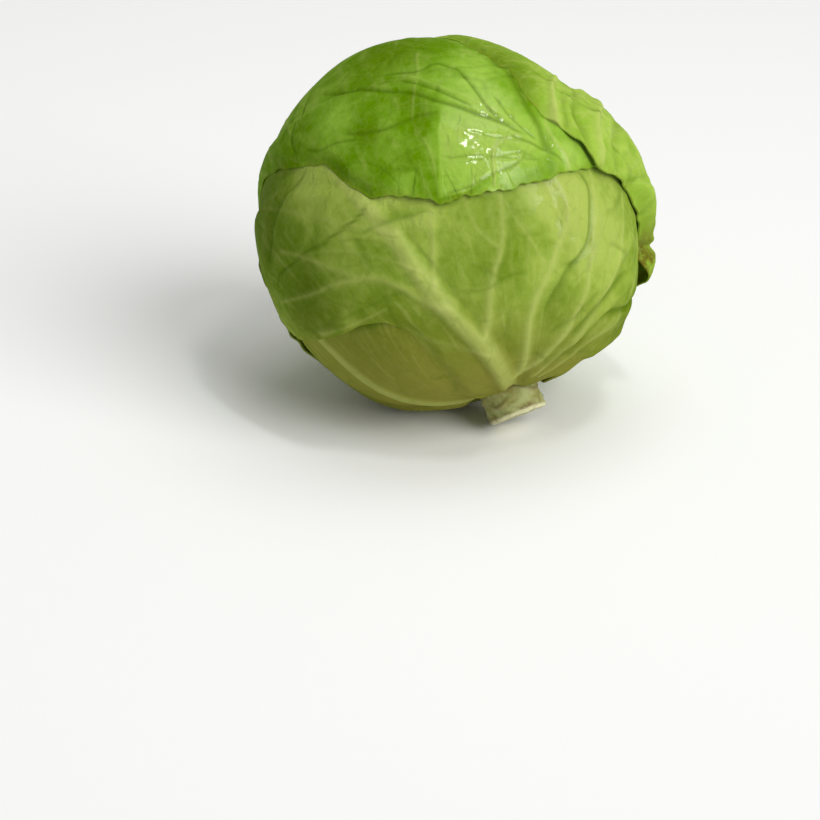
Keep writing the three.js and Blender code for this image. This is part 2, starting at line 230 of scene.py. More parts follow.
# ------------------------ leaves
class Leaf:
    """A leaf laid out on a sheet that touches the head at the leaf's middle: x runs from the stump to the
    tip, y to the right, and a point of the sheet lies as far from the middle, in degrees, as the way that
    it stands for. hub is the point of the sheet that the grid's rays start from.

    margin and midrib are points on the head. rib is the midrib's height and width, and the share of its
    length where its pale colour ends. wave is the height and the number of the margin's waves, and ragged
    how far the margin is frayed. side_veins is how many veins grow on each side of the midrib, up to the
    share side_reach of its length.

    A place is a point, a width in degrees and an amount. Bulges stand off by millimetres, hugs lie close,
    curls turn under, patches are lighter above 0 and darker below it, and dry is browned. The patches are
    partly the leaf's own lighter and darker greens, partly painted light on the side that faces the lamps
    and partly painted shade on the side away from them and low on the head.

    A line is its points and then, for a vein, its width at the start and at the end, its height and its
    paleness, for a line of creases its depth, width and darkness, the darkness being painted shade, for a
    fold its height and width, and for a shade the lightness on its right and on its left, the width that
    blends them and the reach. A shade is painted shade and light along a line, on the cap partly the leaf's
    own darker green beside a fold."""

    def __init__(
        self, middle, hub, margin, midrib, rib, wave, ragged=0.35, side_veins=0, side_reach=0.9,
        bulges=(), hugs=(), curls=(), patches=(), dry=(), veins=(), creases=(), folds=(), shades=(),
    ):
        self.rib, self.wave = (*rib, 1.0), wave
        self.bulges, self.hugs, self.curls, self.patches, self.dry = bulges, hugs, curls, patches, dry
        self.middle = directions(middle)[0]
        self.hub = np.array(hub, float)
        base = directions(midrib[0])[0]
        self.along = unit(self.middle * (base @ self.middle) - base)
        self.right = np.cross(self.along, self.middle)
        outline = spline(self.to_sheet(directions(margin)), True, 720)[:-1]
        rays = self.frayed(outline, ragged) - self.hub
        self.margin_ways = self.from_sheet(rays + self.hub)
        angle = np.unwrap(np.arctan2(rays[:, 1], rays[:, 0]))
        order = np.argsort(angle)
        order = np.append(order, order[0])
        self.angle, self.reach = angle[order], np.linalg.norm(rays, axis=1)[order]
        self.angle[-1] += 2 * np.pi
        self.midrib = spline(self.to_sheet(directions(midrib)), False, 60)
        self.veins, self.creases, self.folds, self.shades = (
            [(self.head_line(line), *rest) for line, *rest in rows]
            for rows in (veins, creases, folds, shades)
        )
        self.veins += self.grown_veins(side_veins, side_reach)

    def head_line(self, points):
        """A smooth line of ways through [polar, azimuth] points."""
        return self.from_sheet(spline(self.to_sheet(directions(points)), False, 28))

    def from_sheet(self, points):
        """Ways of points of the sheet: turned from the middle by their distance, towards their side."""
        arc = np.maximum(np.linalg.norm(points, axis=-1, keepdims=True), 1e-9)
        turn = np.radians(arc)
        side = (points[..., :1] * self.along + points[..., 1:] * self.right) / arc
        return np.cos(turn) * self.middle + np.sin(turn) * side

    def to_sheet(self, ways):
        """Points of the sheet of ways: the arc from the middle, laid off towards their side."""
        side = np.stack([ways @ self.along, ways @ self.right], axis=-1)
        stretch = arc_from(ways, self.middle) / (np.linalg.norm(side, axis=-1) + 1e-12)
        return side * stretch[..., None]

    def to_margin(self, angle):
        """Length of the ray from the hub to the margin at an angle of the sheet."""
        return np.interp(self.angle[0] + np.mod(angle - self.angle[0], 2 * np.pi), self.angle, self.reach)

    def outside(self, ways):
        """Arc from ways to the margin, below 0 inside the leaf, and the share of the way round it. A way
        is inside if it is nearer to the hub than the margin on the same ray. The arc is taken to the two
        segments of the margin at its nearest point."""
        rays = self.to_sheet(ways) - self.hub
        inside = np.linalg.norm(rays, axis=1) < self.to_margin(np.arctan2(rays[:, 1], rays[:, 0]))
        count, batch = len(self.margin_ways), 8000
        nearest = np.empty(len(ways), int)
        for chunk in np.array_split(np.arange(len(ways)), max(1, len(ways) // batch)):
            nearest[chunk] = (ways[chunk] @ self.margin_ways.T).argmax(axis=1)
        gap = np.full(len(ways), np.inf)
        for step in (-1, 1):
            a, b = self.margin_ways[nearest], self.margin_ways[(nearest + step) % count]
            t = np.clip(((ways - a) * (b - a)).sum(-1) / ((b - a) ** 2).sum(-1), 0, 1)[:, None]
            gap = np.minimum(gap, np.linalg.norm(ways - a - t * (b - a), axis=1))
        arc = np.degrees(2 * np.arcsin(np.clip(gap / 2, 0, 1)))
        return np.where(inside, -arc, arc), nearest / count

    def by_midrib(self, sheet):
        """Share of the leaf's length at points of the sheet, 0 at the stump and 1 at the tip, and how far
        they lie to either side of the midrib."""
        x, y = self.midrib.T
        share = np.clip((sheet[:, 0] - x[0]) / (x[-1] - x[0]), 0, 1)
        return share, np.abs(sheet[:, 1] - np.interp(sheet[:, 0], x, y))

    def rib_height(self, sheet, spread):
        """Height of the midrib above the blade. It is half high at the stump, full a tenth of the way
        along, and runs out towards the tip. Across it is a rounded ridge, or with spread, the wider
        ridge that leaves lying over it show."""
        share, off = self.by_midrib(sheet)
        taper = (0.5 + 0.5 * smooth(share / 0.1)) * (1 - smooth((share - 0.12) / 0.75))
        half = self.rib[1] / 2 * (1 - 0.6 * share)
        flank = (off - half - 1.0) / 5 if spread else (off - 0.25 * half) / (1.05 * half)
        return self.rib[0] * taper * (1 - smooth(flank))

    def felt(self, ways):
        """How much this leaf is felt: 1 over the leaf, fading to 0 past its margin."""
        return 1 - smooth((self.outside(ways)[0] - SPARE) / FADE)

    def raises(self, ways):
        """How much this leaf raises those that lie over it."""
        return self.felt(ways) * (BLADE + GAP + self.rib_height(self.to_sheet(ways), True))

    def lift(self, ways, out, share):
        """How far the leaf stands off: waves along its margin, a few places that bulge outward and come
        back down where the margin curls under, and folds along lines. Where it hugs what it lies on,
        and in the troughs of its waves, the margin comes down onto the next leaf."""
        height, count = self.wave
        turn = 2 * np.pi * count * share
        wave = height * (1 + np.sin(turn) + 0.35 * np.sin(2.3 * turn + 1) + 0.2 * np.sin(5.1 * turn)) / 2
        hug, curl = np.minimum(spots(ways, self.hugs), 1), np.minimum(spots(ways, self.curls), 0.95)
        rim = rimward(out, RIM_REACH)
        lift = rimward(out, WAVE_REACH) * wave + spots(ways, self.bulges)
        lift = lift * (1 - curl * rim**0.7) * (1 - hug * rimward(out, HUG_REACH))
        lift = lift - (0.35 + 0.5 * hug) * rim
        for line, tall, width in self.folds:
            distance, along = near_line(ways, line)
            lift = lift + tall * faded(along) * bell(distance, width)
        return np.maximum(lift, -SINK)

    def frayed(self, margin, depth):
        """The margin moved in and out along its rays from the hub by up to depth degrees, by a sum of
        waves of the way round that never line up. It stays as it is near the stump."""
        turn = np.linspace(0, 2 * np.pi, len(margin), endpoint=False)
        phase = self.hub.sum()
        wave = 0.5 * np.sin(23 * turn + phase)
        wave += 0.3 * np.sin(41 * turn - 2 * phase) + 0.3 * np.sin(67 * turn + 5 * phase)
        away = smooth((margin[:, :1] - margin[:, 0].min()) / 20 - 0.2)
        return margin + unit(margin - self.hub) * depth * wave[:, None] * away

    def grown_veins(self, count, reach):
        """count veins on each side of the midrib up to a share of its length, with four twigs each. A
        vein starts on the midrib at an angle that closes towards the tip, and bends towards the tip as
        it goes. Those nearer the tip are shorter and finer."""
        veins, first, fewest = [], 0.1, 4
        for side, lag in ((-1, 0.7), (1, 0.25)):
            for k in range(count):
                share = first + (reach - first) * (k + lag) / count
                turn, length, strength = side * (58 - 22 * share), 95 - 35 * share, 1 - 0.5 * share
                at = int(share * (len(self.midrib) - 3))
                ahead = unit(self.midrib[at + 2] - self.midrib[at])
                line = self.grow(self.midrib[at], ahead, turn, length)
                if len(line) < fewest:
                    continue
                veins.append((self.from_sheet(line), 2.4 * strength, 0.8, 0.75 * strength, 0.75))
                for j, part in enumerate((0.22, 0.4, 0.58, 0.76)):
                    at, turn = int(part * (len(line) - 2)), 38 if (j + k) % 2 else -38
                    twig = self.grow(line[at], unit(line[at + 1] - line[at]), turn, 30)
                    if len(twig) >= fewest:
                        veins.append((self.from_sheet(twig), 1.2, 0.5, 0.3, 0.5))
        return veins

    def grow(self, start, ahead, turn, length):
        """Points of a vein from start: the length along ahead turned by turn degrees, bending back by
        three tenths of it towards ahead, cut off where it comes near the margin."""
        c, s = np.cos(np.radians(turn)), np.sin(np.radians(turn))
        aim = np.array([c * ahead[0] - s * ahead[1], s * ahead[0] + c * ahead[1]])
        u = np.linspace(0, 1, 26)[:, None]
        line = start + length * (u * aim + 0.3 * u * u * ahead)
        near = self.outside(self.from_sheet(line))[0] > -2
        return line[: int(np.argmax(near)) if near.any() else len(line)]


LEAVES = {
    "leaf_inner_left": Leaf(
        middle=[62, -62],
        hub=[-2.7, 8.1],
        margin=[[11.4, -55], [11.4, -25], [24, -8], [45, -6], [70, -14], [95, -20], [110, -50], [108, -82],
                [92, -104], [66, -108], [44, -106], [24, -98], [11.4, -86]],
        midrib=[[11.4, -55], [40, -60], [75, -66], [108, -70]],
        rib=(2.6, 8),
        wave=(0.6, 7),
        patches=[([58, -40], 18, -0.35), ([44, -10], 14, -0.2)],
        # painted shadow of the front leaf's margin, as a dark band along it
        creases=[([[72, -60], [68, -46], [65, -37], [65, -29], [64, -22]], 0.1, 2.4, 0.9)],
    ),
    "leaf_inner_right": Leaf(
        middle=[62, 78],
        hub=[3.0, -5.6],
        margin=[[11.4, 62], [11.4, 93], [24, 118], [44, 128], [66, 126], [92, 116], [108, 90], [108, 60],
                [92, 40], [66, 40], [44, 30], [24, 26], [11.4, 34]],
        midrib=[[11.4, 62], [40, 72], [75, 78], [106, 76]],
        rib=(2.6, 8),
        wave=(1.2, 9),
        side_veins=5,
    ),
    "leaf_front": Leaf(
        middle=[92, -8],
        hub=[6.5, 19.9],
        margin=[[11.4, 4], [11.4, 34], [22, 56], [36, 78], [52, 84], [66, 88], [76, 96], [90, 92],
                [104, 80], [118, 58], [128, 28], [134, -10], [133, -52], [125, -86], [108, -104],
                [92, -108], [80, -101], [73, -84], [69, -62], [67, -47], [66, -34], [58, -26], [46, -25],
                [34, -28], [22, -34], [11.4, -26]],
        midrib=[[11.4, 4], [41, -2], [62, -10.2], [75, -13.4], [88, -16.4], [100, -21.6], [118, -32],
                [133, -42]],
        rib=(3.5, 9.5),
        wave=(0.5, 11),
        ragged=0.5,
        bulges=[([70, -46], 12, 2), ([50, 86], 12, 1)],
        hugs=[([56, -26], 8), ([44, -25], 10), ([32, -28], 10)],
        # patches: the front leaf's own greens, with painted light on its right side and beside the cap's
        # margin, and painted shade on the left limb, low on the front and at the lower right
        patches=[
            ([74, 42], 20, 0.5), ([85, 32], 8, 0.35), ([79, 34], 6, 0.45), ([80, 21], 6, -0.25),
            ([78, 8], 12, -0.15), ([92, -10], 9, 0.4), ([98, -17], 5, 0.5), ([56, 60], 12, 0.25),
            ([109, -21], 6, 0.4), ([72, -14], 5, 0.2), ([90, -4], 5, 0.4), ([70, -42], 4, 0.25),
            ([81, 39], 5, 0.4), ([77, 39], 8, 0.3), ([62, 44], 4, 0.4), ([117, -44], 8, 0.6),
            ([108, -36], 9, 0.4), ([110, -72], 22, -0.6), ([80, -54], 16, -0.55), ([84, -50], 5, -0.35),
            ([76, -62], 8, -0.3), ([64, -30], 14, -0.3), ([39, 96], 18, -0.8), ([29, 40], 10, -0.3),
            ([40, -10], 16, -0.35), ([50, 30], 10, -0.25), ([66, 14], 8, -0.25), ([72, 26], 6, -0.3),
            ([64, 8], 8, -0.15), ([50, 40], 9, -0.2),
        ],
        veins=[
            ([[61, -8], [63, -13], [68, -17], [72, -20], [77, -25], [80, -32], [85, -38], [91, -46],
              [97, -58]], 3.8, 1.6, 0.8, 0.7),
            ([[79, -30], [81, -41], [81, -47], [82, -56], [84, -72]], 2.6, 1.2, 0.5, 0.6),
            ([[87, -14], [94, -26], [101, -38], [107, -50], [112, -66]], 2.4, 1.0, 0.3, 0.4),
            ([[48, -1], [52, 2], [63, 7], [73, 14], [82, 17], [92, 20], [104, 22]], 3.4, 1.6, 0.7, 0.9),
            ([[68, -10], [72, -9], [82, -5], [92, -2], [100, 0]], 2.6, 1.4, 0.4, 0.8),
            ([[24, 10], [28, 13], [39, 15], [47, 17], [52, 20], [57, 24], [61, 28], [65, 31], [69, 34],
              [74, 37], [79, 38], [83, 38], [87, 37], [96, 37]], 4.2, 1.3, 1.1, 1.1),
            ([[26, 14], [34, 25], [39, 30], [46, 37], [53, 42], [60, 43], [65, 45], [70, 47], [75, 50],
              [86, 52]], 3.4, 1.3, 1.1, 1.0),
            ([[22, 22], [32, 34], [44, 48], [56, 58], [68, 66], [80, 70]], 2.6, 1.2, 0.8, 0.8),
            ([[20, 30], [30, 48], [42, 66], [54, 74], [64, 80]], 2.4, 1.2, 0.8, 0.7),
            ([[74, -12], [84, -24], [90, -36], [93, -50]], 1.4, 0.7, 0.3, 0.4),
            ([[72, 13], [80, 8], [90, 8], [100, 10]], 1.6, 0.8, 0.3, 0.5),
            ([[60, 28], [70, 24], [80, 20], [94, 18]], 1.6, 0.8, 0.3, 0.5),
            ([[56, 38], [66, 39], [78, 42], [88, 46]], 1.4, 0.7, 0.3, 0.5),
            ([[42, -2], [48, -12], [54, -20], [60, -26]], 2.4, 1.2, 0.3, 0.4),
            ([[70, -56], [69, -47], [68, -38], [68, -28]], 2.2, 1.0, 0.3, 0.6),
        ],
        creases=[
            ([[120, -38], [115, -42], [111, -51], [106, -59], [100, -64], [97, -68], [94, -74]],
             0.3, 1.2, 0.8),
            ([[100, -16], [97, -21], [95, -26], [94, -33], [93, -38], [93, -44], [92, -54], [91, -64],
              [86, -72]], 0.4, 0.8, 0.9),
            ([[91, 44], [86, 47], [82, 49], [77, 48], [72, 46], [67, 44], [64, 41], [61, 36], [56, 31],
              [50, 25], [45, 22]], 0.8, 1.1, 0.85),
            ([[52, 50], [46, 39], [43, 30], [41, 23]], 0.4, 1.3, 0.5),
            ([[52, 86], [46, 76], [42, 56], [38, 49], [32, 46], [29, 42]], 0.8, 1.6, 0.95),
            ([[56, 68], [50, 58], [48, 54], [45, 48], [42, 43], [37, 36]], 0.6, 1.4, 0.85),
            ([[64, -3], [62, 2], [62, 6], [63, 11], [63, 16], [62, 21]], 0.25, 0.7, 0.5),
            ([[71, -46], [71, -30], [71, -24], [70, -17]], 0.2, 1.4, 0.4),
            ([[91, -34], [91, -30], [89, -25], [86, -19]], 0.15, 0.9, 0.35),
            ([[91, -26], [91, -17], [90, -8], [90, -3]], 0.15, 1.0, 0.45),
            ([[70, -40], [68, -50], [66, -62]], 0.3, 1.8, 0.6),
            ([[104, -16], [96, -14], [86, -12], [74, -8], [64, -5], [52, -1]], 0.1, 1.0, 0.2),
        ],
        folds=[
            ([[34, 24], [46, 42], [58, 60], [66, 76]], 0.9, 2.6),
            ([[46, 96], [42, 88], [37, 80], [32, 68], [28, 52]], 2.0, 2.8),
            ([[56, 74], [48, 62], [44, 54], [38, 44], [32, 34]], 1.3, 2.2),
            ([[52, 86], [46, 76], [42, 56], [38, 49], [32, 44], [27, 38]], -1.2, 1.8),
            ([[60, 70], [52, 60], [48, 52], [44, 46], [38, 37]], -0.8, 1.6),
            ([[30, 16], [44, 24], [56, 36], [68, 48], [78, 52]], 0.9, 2.6),
            ([[52, 50], [46, 39], [43, 30], [41, 23]], -0.5, 2.0),
            ([[70, -40], [69, -50], [68, -58]], 1.2, 2.4),
        ],
        # painted shade on the left limb beyond its fold line, and a painted shadow under the cap's margin
        shades=[
            ([[120, -38], [115, -42], [111, -51], [106, -59], [100, -64], [97, -68], [94, -74]],
             -0.35, 0.0, 5, 9),
            ([[92, -22], [91, -14], [90, -6], [89, 0]], 0.1, -0.45, 1.0, 5),
        ],
    ),
    "leaf_cap": Leaf(
        middle=[135, 176],
        hub=[66, -12],
        margin=[[11.4, 172], [11.4, -156], [24, -132], [48, -120], [75, -114], [98, -106], [114, -92],
                [123, -66], [119, -46], [115, -31], [108, -26], [100, -18], [95, -6], [90, 2], [88, 18],
                [87, 32], [87, 47], [84, 66], [76, 92], [64, 114], [46, 128], [28, 136], [11.4, 140]],
        midrib=[[11.4, 172], [36, 162], [64, 164], [110, 172], [150, 172], [170, 60], [140, 22], [116, 11],
                [94, -4]],
        rib=(3.0, 9, 0.6),
        wave=(0.9, 13),
        ragged=0.7,
        side_veins=6,
        side_reach=0.5,
        hugs=[
            ([121, -64], 7), ([118, -80], 9), ([110, -96], 8), ([118, -38], 6), ([110, -27], 7),
            ([102, -19], 6),
        ],
        # patches: the cap's own darker and lighter greens, with a painted sheen on its lighter right part
        # and painted shade at the top of the crown and at the corner of its margin
        patches=[
            ([103, 22], 15, 0.8), ([106, -16], 20, -0.2), ([124, 36], 14, 0.3), ([120, 42], 7, -0.35),
            ([118, -48], 12, -0.3), ([112, -62], 16, -0.5), ([92, 45], 5, 0.6), ([88, 16], 7, 0.3),
            ([156, 10], 18, -0.6), ([140, -14], 12, -0.2), ([119, -14], 4, -0.4), ([125, 4], 5, -0.5),
            ([118, 6], 4, -0.4), ([113, 3], 4, -0.4), ([112, 43], 6, -0.45), ([109, -3], 6, 0.2),
            ([100, -8], 5, 0.25), ([106, -29], 5, -0.4), ([112, -30], 6, -0.2), ([106, -4], 5, -0.3),
            ([110, -44], 6, 0.2), ([100, -14], 5, -0.2), ([128, -24], 6, 0.2), ([112, 8], 6, 0.2),
        ],
        veins=[
            ([[136, 5], [125, 16], [116, 24], [108, 30]], 1.8, 0.9, 0.6, 0.35),
            ([[146, 18], [135, 11], [125, 5], [118, 2]], 1.6, 0.8, 0.3, 0.45),
            ([[90, 17], [92, 18], [98, 20], [101, 23], [102, 28], [102, 31]], 1.3, 0.9, 0.6, 0.9),
            ([[97, 29], [94, 27], [92, 23]], 1.2, 0.8, 0.4, 0.35),
            ([[88, 42], [93, 42], [96, 41], [100, 41], [104, 43]], 1.8, 1.2, 0.7, 0.8),
            ([[110, 3], [103, 3], [93, 1]], 1.4, 0.8, 0.2, 0.3),
        ],
        creases=[
            ([[146, -44], [141, -30], [138, -18], [132, -4], [126, 7], [122, 11], [117, 17], [112, 22],
              [107, 28], [101, 33]], 0.6, 1.4, 1.0),
            ([[136, 0], [128, 11], [120, 18], [114, 22]], 0.4, 0.9, 0.85),
            ([[142, -10], [140, 2], [137, 13], [138, 21], [134, 25], [124, 26], [113, 26], [108, 28],
              [104, 30], [100, 35]], 0.4, 0.9, 0.9),
            ([[123, -25], [120, -17], [119, -13], [118, -8], [118, -2], [118, 6], [116, 12]],
             0.3, 1.2, 0.85),
            ([[123, -40], [120, -33], [120, -26], [118, -17]], 0.25, 0.9, 0.75),
            ([[150, -51], [138, -48], [129, -48], [121, -43]], 0.4, 0.8, 0.9),
            ([[158, -63], [151, -67], [136, -55], [128, -56]], 0.25, 0.7, 0.6),
            ([[136, 45], [129, 45], [117, 41], [110, 39], [104, 39], [97, 38], [91, 38]], 0.4, 2.2, 0.85),
            ([[105, 4], [102, 8], [100, 15], [97, 22], [94, 30], [92, 35]], 0.2, 0.6, 0.5),
            ([[92, 10], [93, 18], [94, 27], [98, 31]], 0.2, 0.6, 0.4),
            ([[104, -14], [108, -4], [107, 4]], 0.15, 0.8, 0.35),
            ([[112, -28], [108, -14], [98, -8]], 0.15, 0.8, 0.3),
            ([[103, 27], [101, 30], [97, 35], [91, 40], [89, 41]], 0.35, 1.0, 0.85),
            ([[91, 0], [92, 12], [94, 27], [96, 30], [99, 34]], 0.25, 0.8, 0.6),
            ([[118, 30], [110, 31], [104, 33], [98, 36]], 0.3, 0.8, 0.6),
            ([[108, 15], [104, 22], [101, 28], [98, 33]], 0.2, 0.7, 0.45),
            ([[99, 10], [98, 18], [97, 26], [96, 32]], 0.2, 0.6, 0.4),
        ],
        folds=[([[112, 30], [105, 33], [98, 36], [92, 40]], -0.5, 3.0)],
        # shade lines: darker left of the fold, partly the leaf's own darker green and partly painted shade;
        # a darker strip above the lower margin; painted shade at the corner of the margin
        shades=[
            ([[124, 13], [116, 11], [111, 8], [105, 6], [98, 3], [88, 0]], -0.28, 0.15, 1.5, 9),
            ([[91, -2], [91, 8], [92, 14], [93, 21]], -0.6, 0.1, 1.2, 4.5),
            ([[121, -44], [114, -29], [108, -23], [100, -15]], -0.1, -0.1, 2, 5),
        ],
    ),
    "leaf_back_left": Leaf(
        middle=[74, -142],
        hub=[-14.7, 7.3],
        margin=[[11.4, -112], [11.4, -81], [22, -86], [38, -95], [56, -96], [76, -98], [96, -99],
                [112, -106], [126, -126], [132, -150], [124, -172], [106, 178], [84, 180], [60, -176],
                [40, 178], [26, -176], [16, -160], [11.4, -142]],
        midrib=[[11.4, -112], [40, -122], [80, -138], [110, -148], [131, -152]],
        rib=(2.8, 9),
        wave=(1.6, 10),
        side_veins=6,
        hugs=[([11, -81], 9), ([28, -89], 12), ([48, -96], 12)],
    ),
    "leaf_right": Leaf(
        middle=[98, 108],
        hub=[-4.4, 38.2],
        margin=[[11.4, 118], [11.4, 88], [28, 94], [44, 102], [52, 103], [56, 95], [61, 92], [68, 87],
                [73, 77], [79, 71], [83, 61], [86, 53], [92, 50], [99, 46], [107, 42], [116, 42], [129, 46],
                [144, 50], [160, 74], [168, 150], [152, 176], [126, 172], [98, 166], [74, 160], [50, 154],
                [28, 150], [11.4, 148]],
        midrib=[[11.4, 118], [50, 124], [90, 116], [124, 96], [158, 76]],
        rib=(3.0, 9),
        wave=(1.2, 12),
        ragged=0.6,
        side_veins=7,
        bulges=[
            ([69, 87], 12, 6.2), ([60, 99], 9, 8), ([55, 96], 4.5, 3.5), ([90, 86], 15, 3.6),
            ([93, 51], 6, 0.7),
        ],
        hugs=[
            ([134, 46], 12), ([122, 42], 12), ([112, 41], 10), ([103, 43], 6), ([148, 54], 12),
            ([162, 84], 16),
        ],
        curls=[([80, 68], 7), ([74, 78], 8), ([84, 60], 6), ([69, 86], 6), ([62, 91], 6)],
        patches=[
            ([112, 52], 10, 0.25), ([98, 66], 14, 0.3), ([76, 84], 12, 0.1), ([140, 60], 16, -0.3),
            ([106, 90], 12, -0.2), ([100, 53], 4, -0.3), ([88, 74], 6, -0.2), ([130, 47], 10, -0.5),
            ([117, 44], 8, -0.5),
        ],
        dry=[([58, 95], 9)],
        veins=[
            ([[101, 44], [104, 45], [108, 48], [114, 54], [117, 62], [122, 74]], 3.4, 1.8, 1.2, 1.2),
            ([[87, 54], [89, 55], [93, 56], [97, 59], [102, 67], [106, 84], [109, 98]], 2.8, 1.2, 1.0, 1.0),
            ([[84, 70], [86, 78], [91, 90]], 1.6, 0.8, 0.5, 0.5),
        ],
        creases=[
            ([[90, 51], [96, 52], [102, 53], [107, 59], [112, 68]], 0.3, 1.8, 0.55),
            ([[82, 62], [89, 65], [95, 72], [100, 88]], 0.3, 2.8, 0.4),
            ([[98, 46], [102, 48], [106, 51], [110, 57]], 0.2, 1.8, 0.4),
            ([[126, 54], [116, 56], [106, 61], [98, 72]], 0.3, 1.2, 0.5),
            ([[150, 52], [129, 46], [116, 42], [108, 42], [104, 43]], 0.1, 2.2, 0.3),
        ],
        folds=[
            ([[78, 64], [80, 72], [81, 79], [81, 86]], -1.6, 1.7),
            ([[64, 72], [67, 77], [70, 82], [72, 86]], -1.6, 1.6),
            ([[59, 84], [61, 89], [63, 95], [65, 101]], -2.4, 1.7),
            ([[84, 58], [88, 66], [92, 76]], 0.8, 3.0),
            ([[90, 52], [97, 52], [104, 55], [110, 64], [116, 76]], -1.3, 2.2),
            ([[100, 45], [104, 46], [109, 49], [115, 56], [120, 68]], 1.3, 2.0),
            ([[86, 56], [93, 57], [98, 60], [103, 68], [108, 84]], 1.3, 2.2),
            ([[82, 62], [89, 65], [95, 72], [100, 88]], -1.2, 2.6),
        ],
    ),
}
ORDER = list(LEAVES)  # from the heart out


def inner_radius(ways, order):
    """Radius of the inner face of a leaf: the heart, and each leaf further in that lies below it."""
    return heart_radius(ways) + GAP + sum(LEAVES[name].raises(ways) for name in ORDER[:order])


def exposure(ways, order):
    """How little each way is covered by the leaves further out: 1 in the open, 0 well under a leaf."""
    share = np.ones(len(ways))
    for name in ORDER[order + 1 :]:
        share = share * (1 - LEAVES[name].felt(ways))
    return share


def leaf_grid(leaf, cells):
    """Sheet points of a square grid of the leaf. The square from -1 to 1 is bent into a disc, x taking x
    times the root of 1 less half y squared and y likewise, and each disc point goes to its share of the
    ray from the hub to the margin."""
    u, v = np.meshgrid(np.linspace(-1, 1, cells + 1), np.linspace(-1, 1, cells + 1), indexing="ij")
    a, b = u * np.sqrt(1 - v * v / 2), v * np.sqrt(1 - u * u / 2)
    angle, length = np.arctan2(b, a), np.hypot(a, b)
    ray = np.stack([np.cos(angle), np.sin(angle)], axis=-1) * (length * leaf.to_margin(angle))[..., None]
    return leaf.hub + ray.reshape(-1, 2)


def leaf_relief(leaf, ways, sheet):
    """Height of the veins above the blade and depth of the creases in millimetres, and the fields that
    colour them and the midrib. A vein is a bell across, whose width and height run down towards its end."""
    height, vein, halo, depth, painted_crease_shade = np.zeros((5, len(ways)))
    for line, wide, narrow, tall, pale in leaf.veins:
        distance, share = near_line(ways, line)
        width = wide + (narrow - wide) * share
        glow = 0.5 * bell(distance, 0.7 * width) + 0.5 * bell(distance, 0.3 * width + 0.25)
        height = np.maximum(height, tall * (1 - 0.75 * share) * bell(distance, 0.62 * width))
        vein = np.maximum(vein, pale * (1 - 0.4 * share) * glow)
        halo = np.maximum(halo, pale * (1 - 0.5 * share) * bell(distance, 1.5 + 1.2 * width))
    for line, deep, width, dark in leaf.creases:
        distance, share = near_line(ways, line)
        depth = np.maximum(depth, deep * faded(share) * bell(distance, width))
        # painted shade: each crease is darkened along its line
        painted_crease_shade = np.maximum(painted_crease_shade, dark * faded(share) * bell(distance, 0.8 * width))
    share, off = leaf.by_midrib(sheet)
    half = leaf.rib[1] / 2 * (1 - 0.4 * share)
    pale = smooth((leaf.rib[2] - share) / 0.3) * (0.75 + 0.3 * share)
    rib = pale * (1 - smooth((off - 0.3 * half) / (0.75 * half)))
    return height, depth, {"rib": rib, "vein": vein, "halo": halo, "painted_crease_shade": painted_crease_shade}


# layers of unevenness: height and size of the waves, and seed
BLADE_SWELLS = ((0.225, 17, 3), (0.11, 8, 13))
PLEATS = ((0.35, 6.0, 33), (0.12, 2.8, 43))  # along the rays that fan out from the stump
PUCKERS = ((0.32, 4.6, 53), (0.12, 2.4, 63))  # of the lighter patches
FRILLS = ((0.35, 5.5, 23),)  # of the margin
GRAIN = ((0.07, 3.2, 73),)
HEART_SWELLS = ((0.2, 12, 41),)


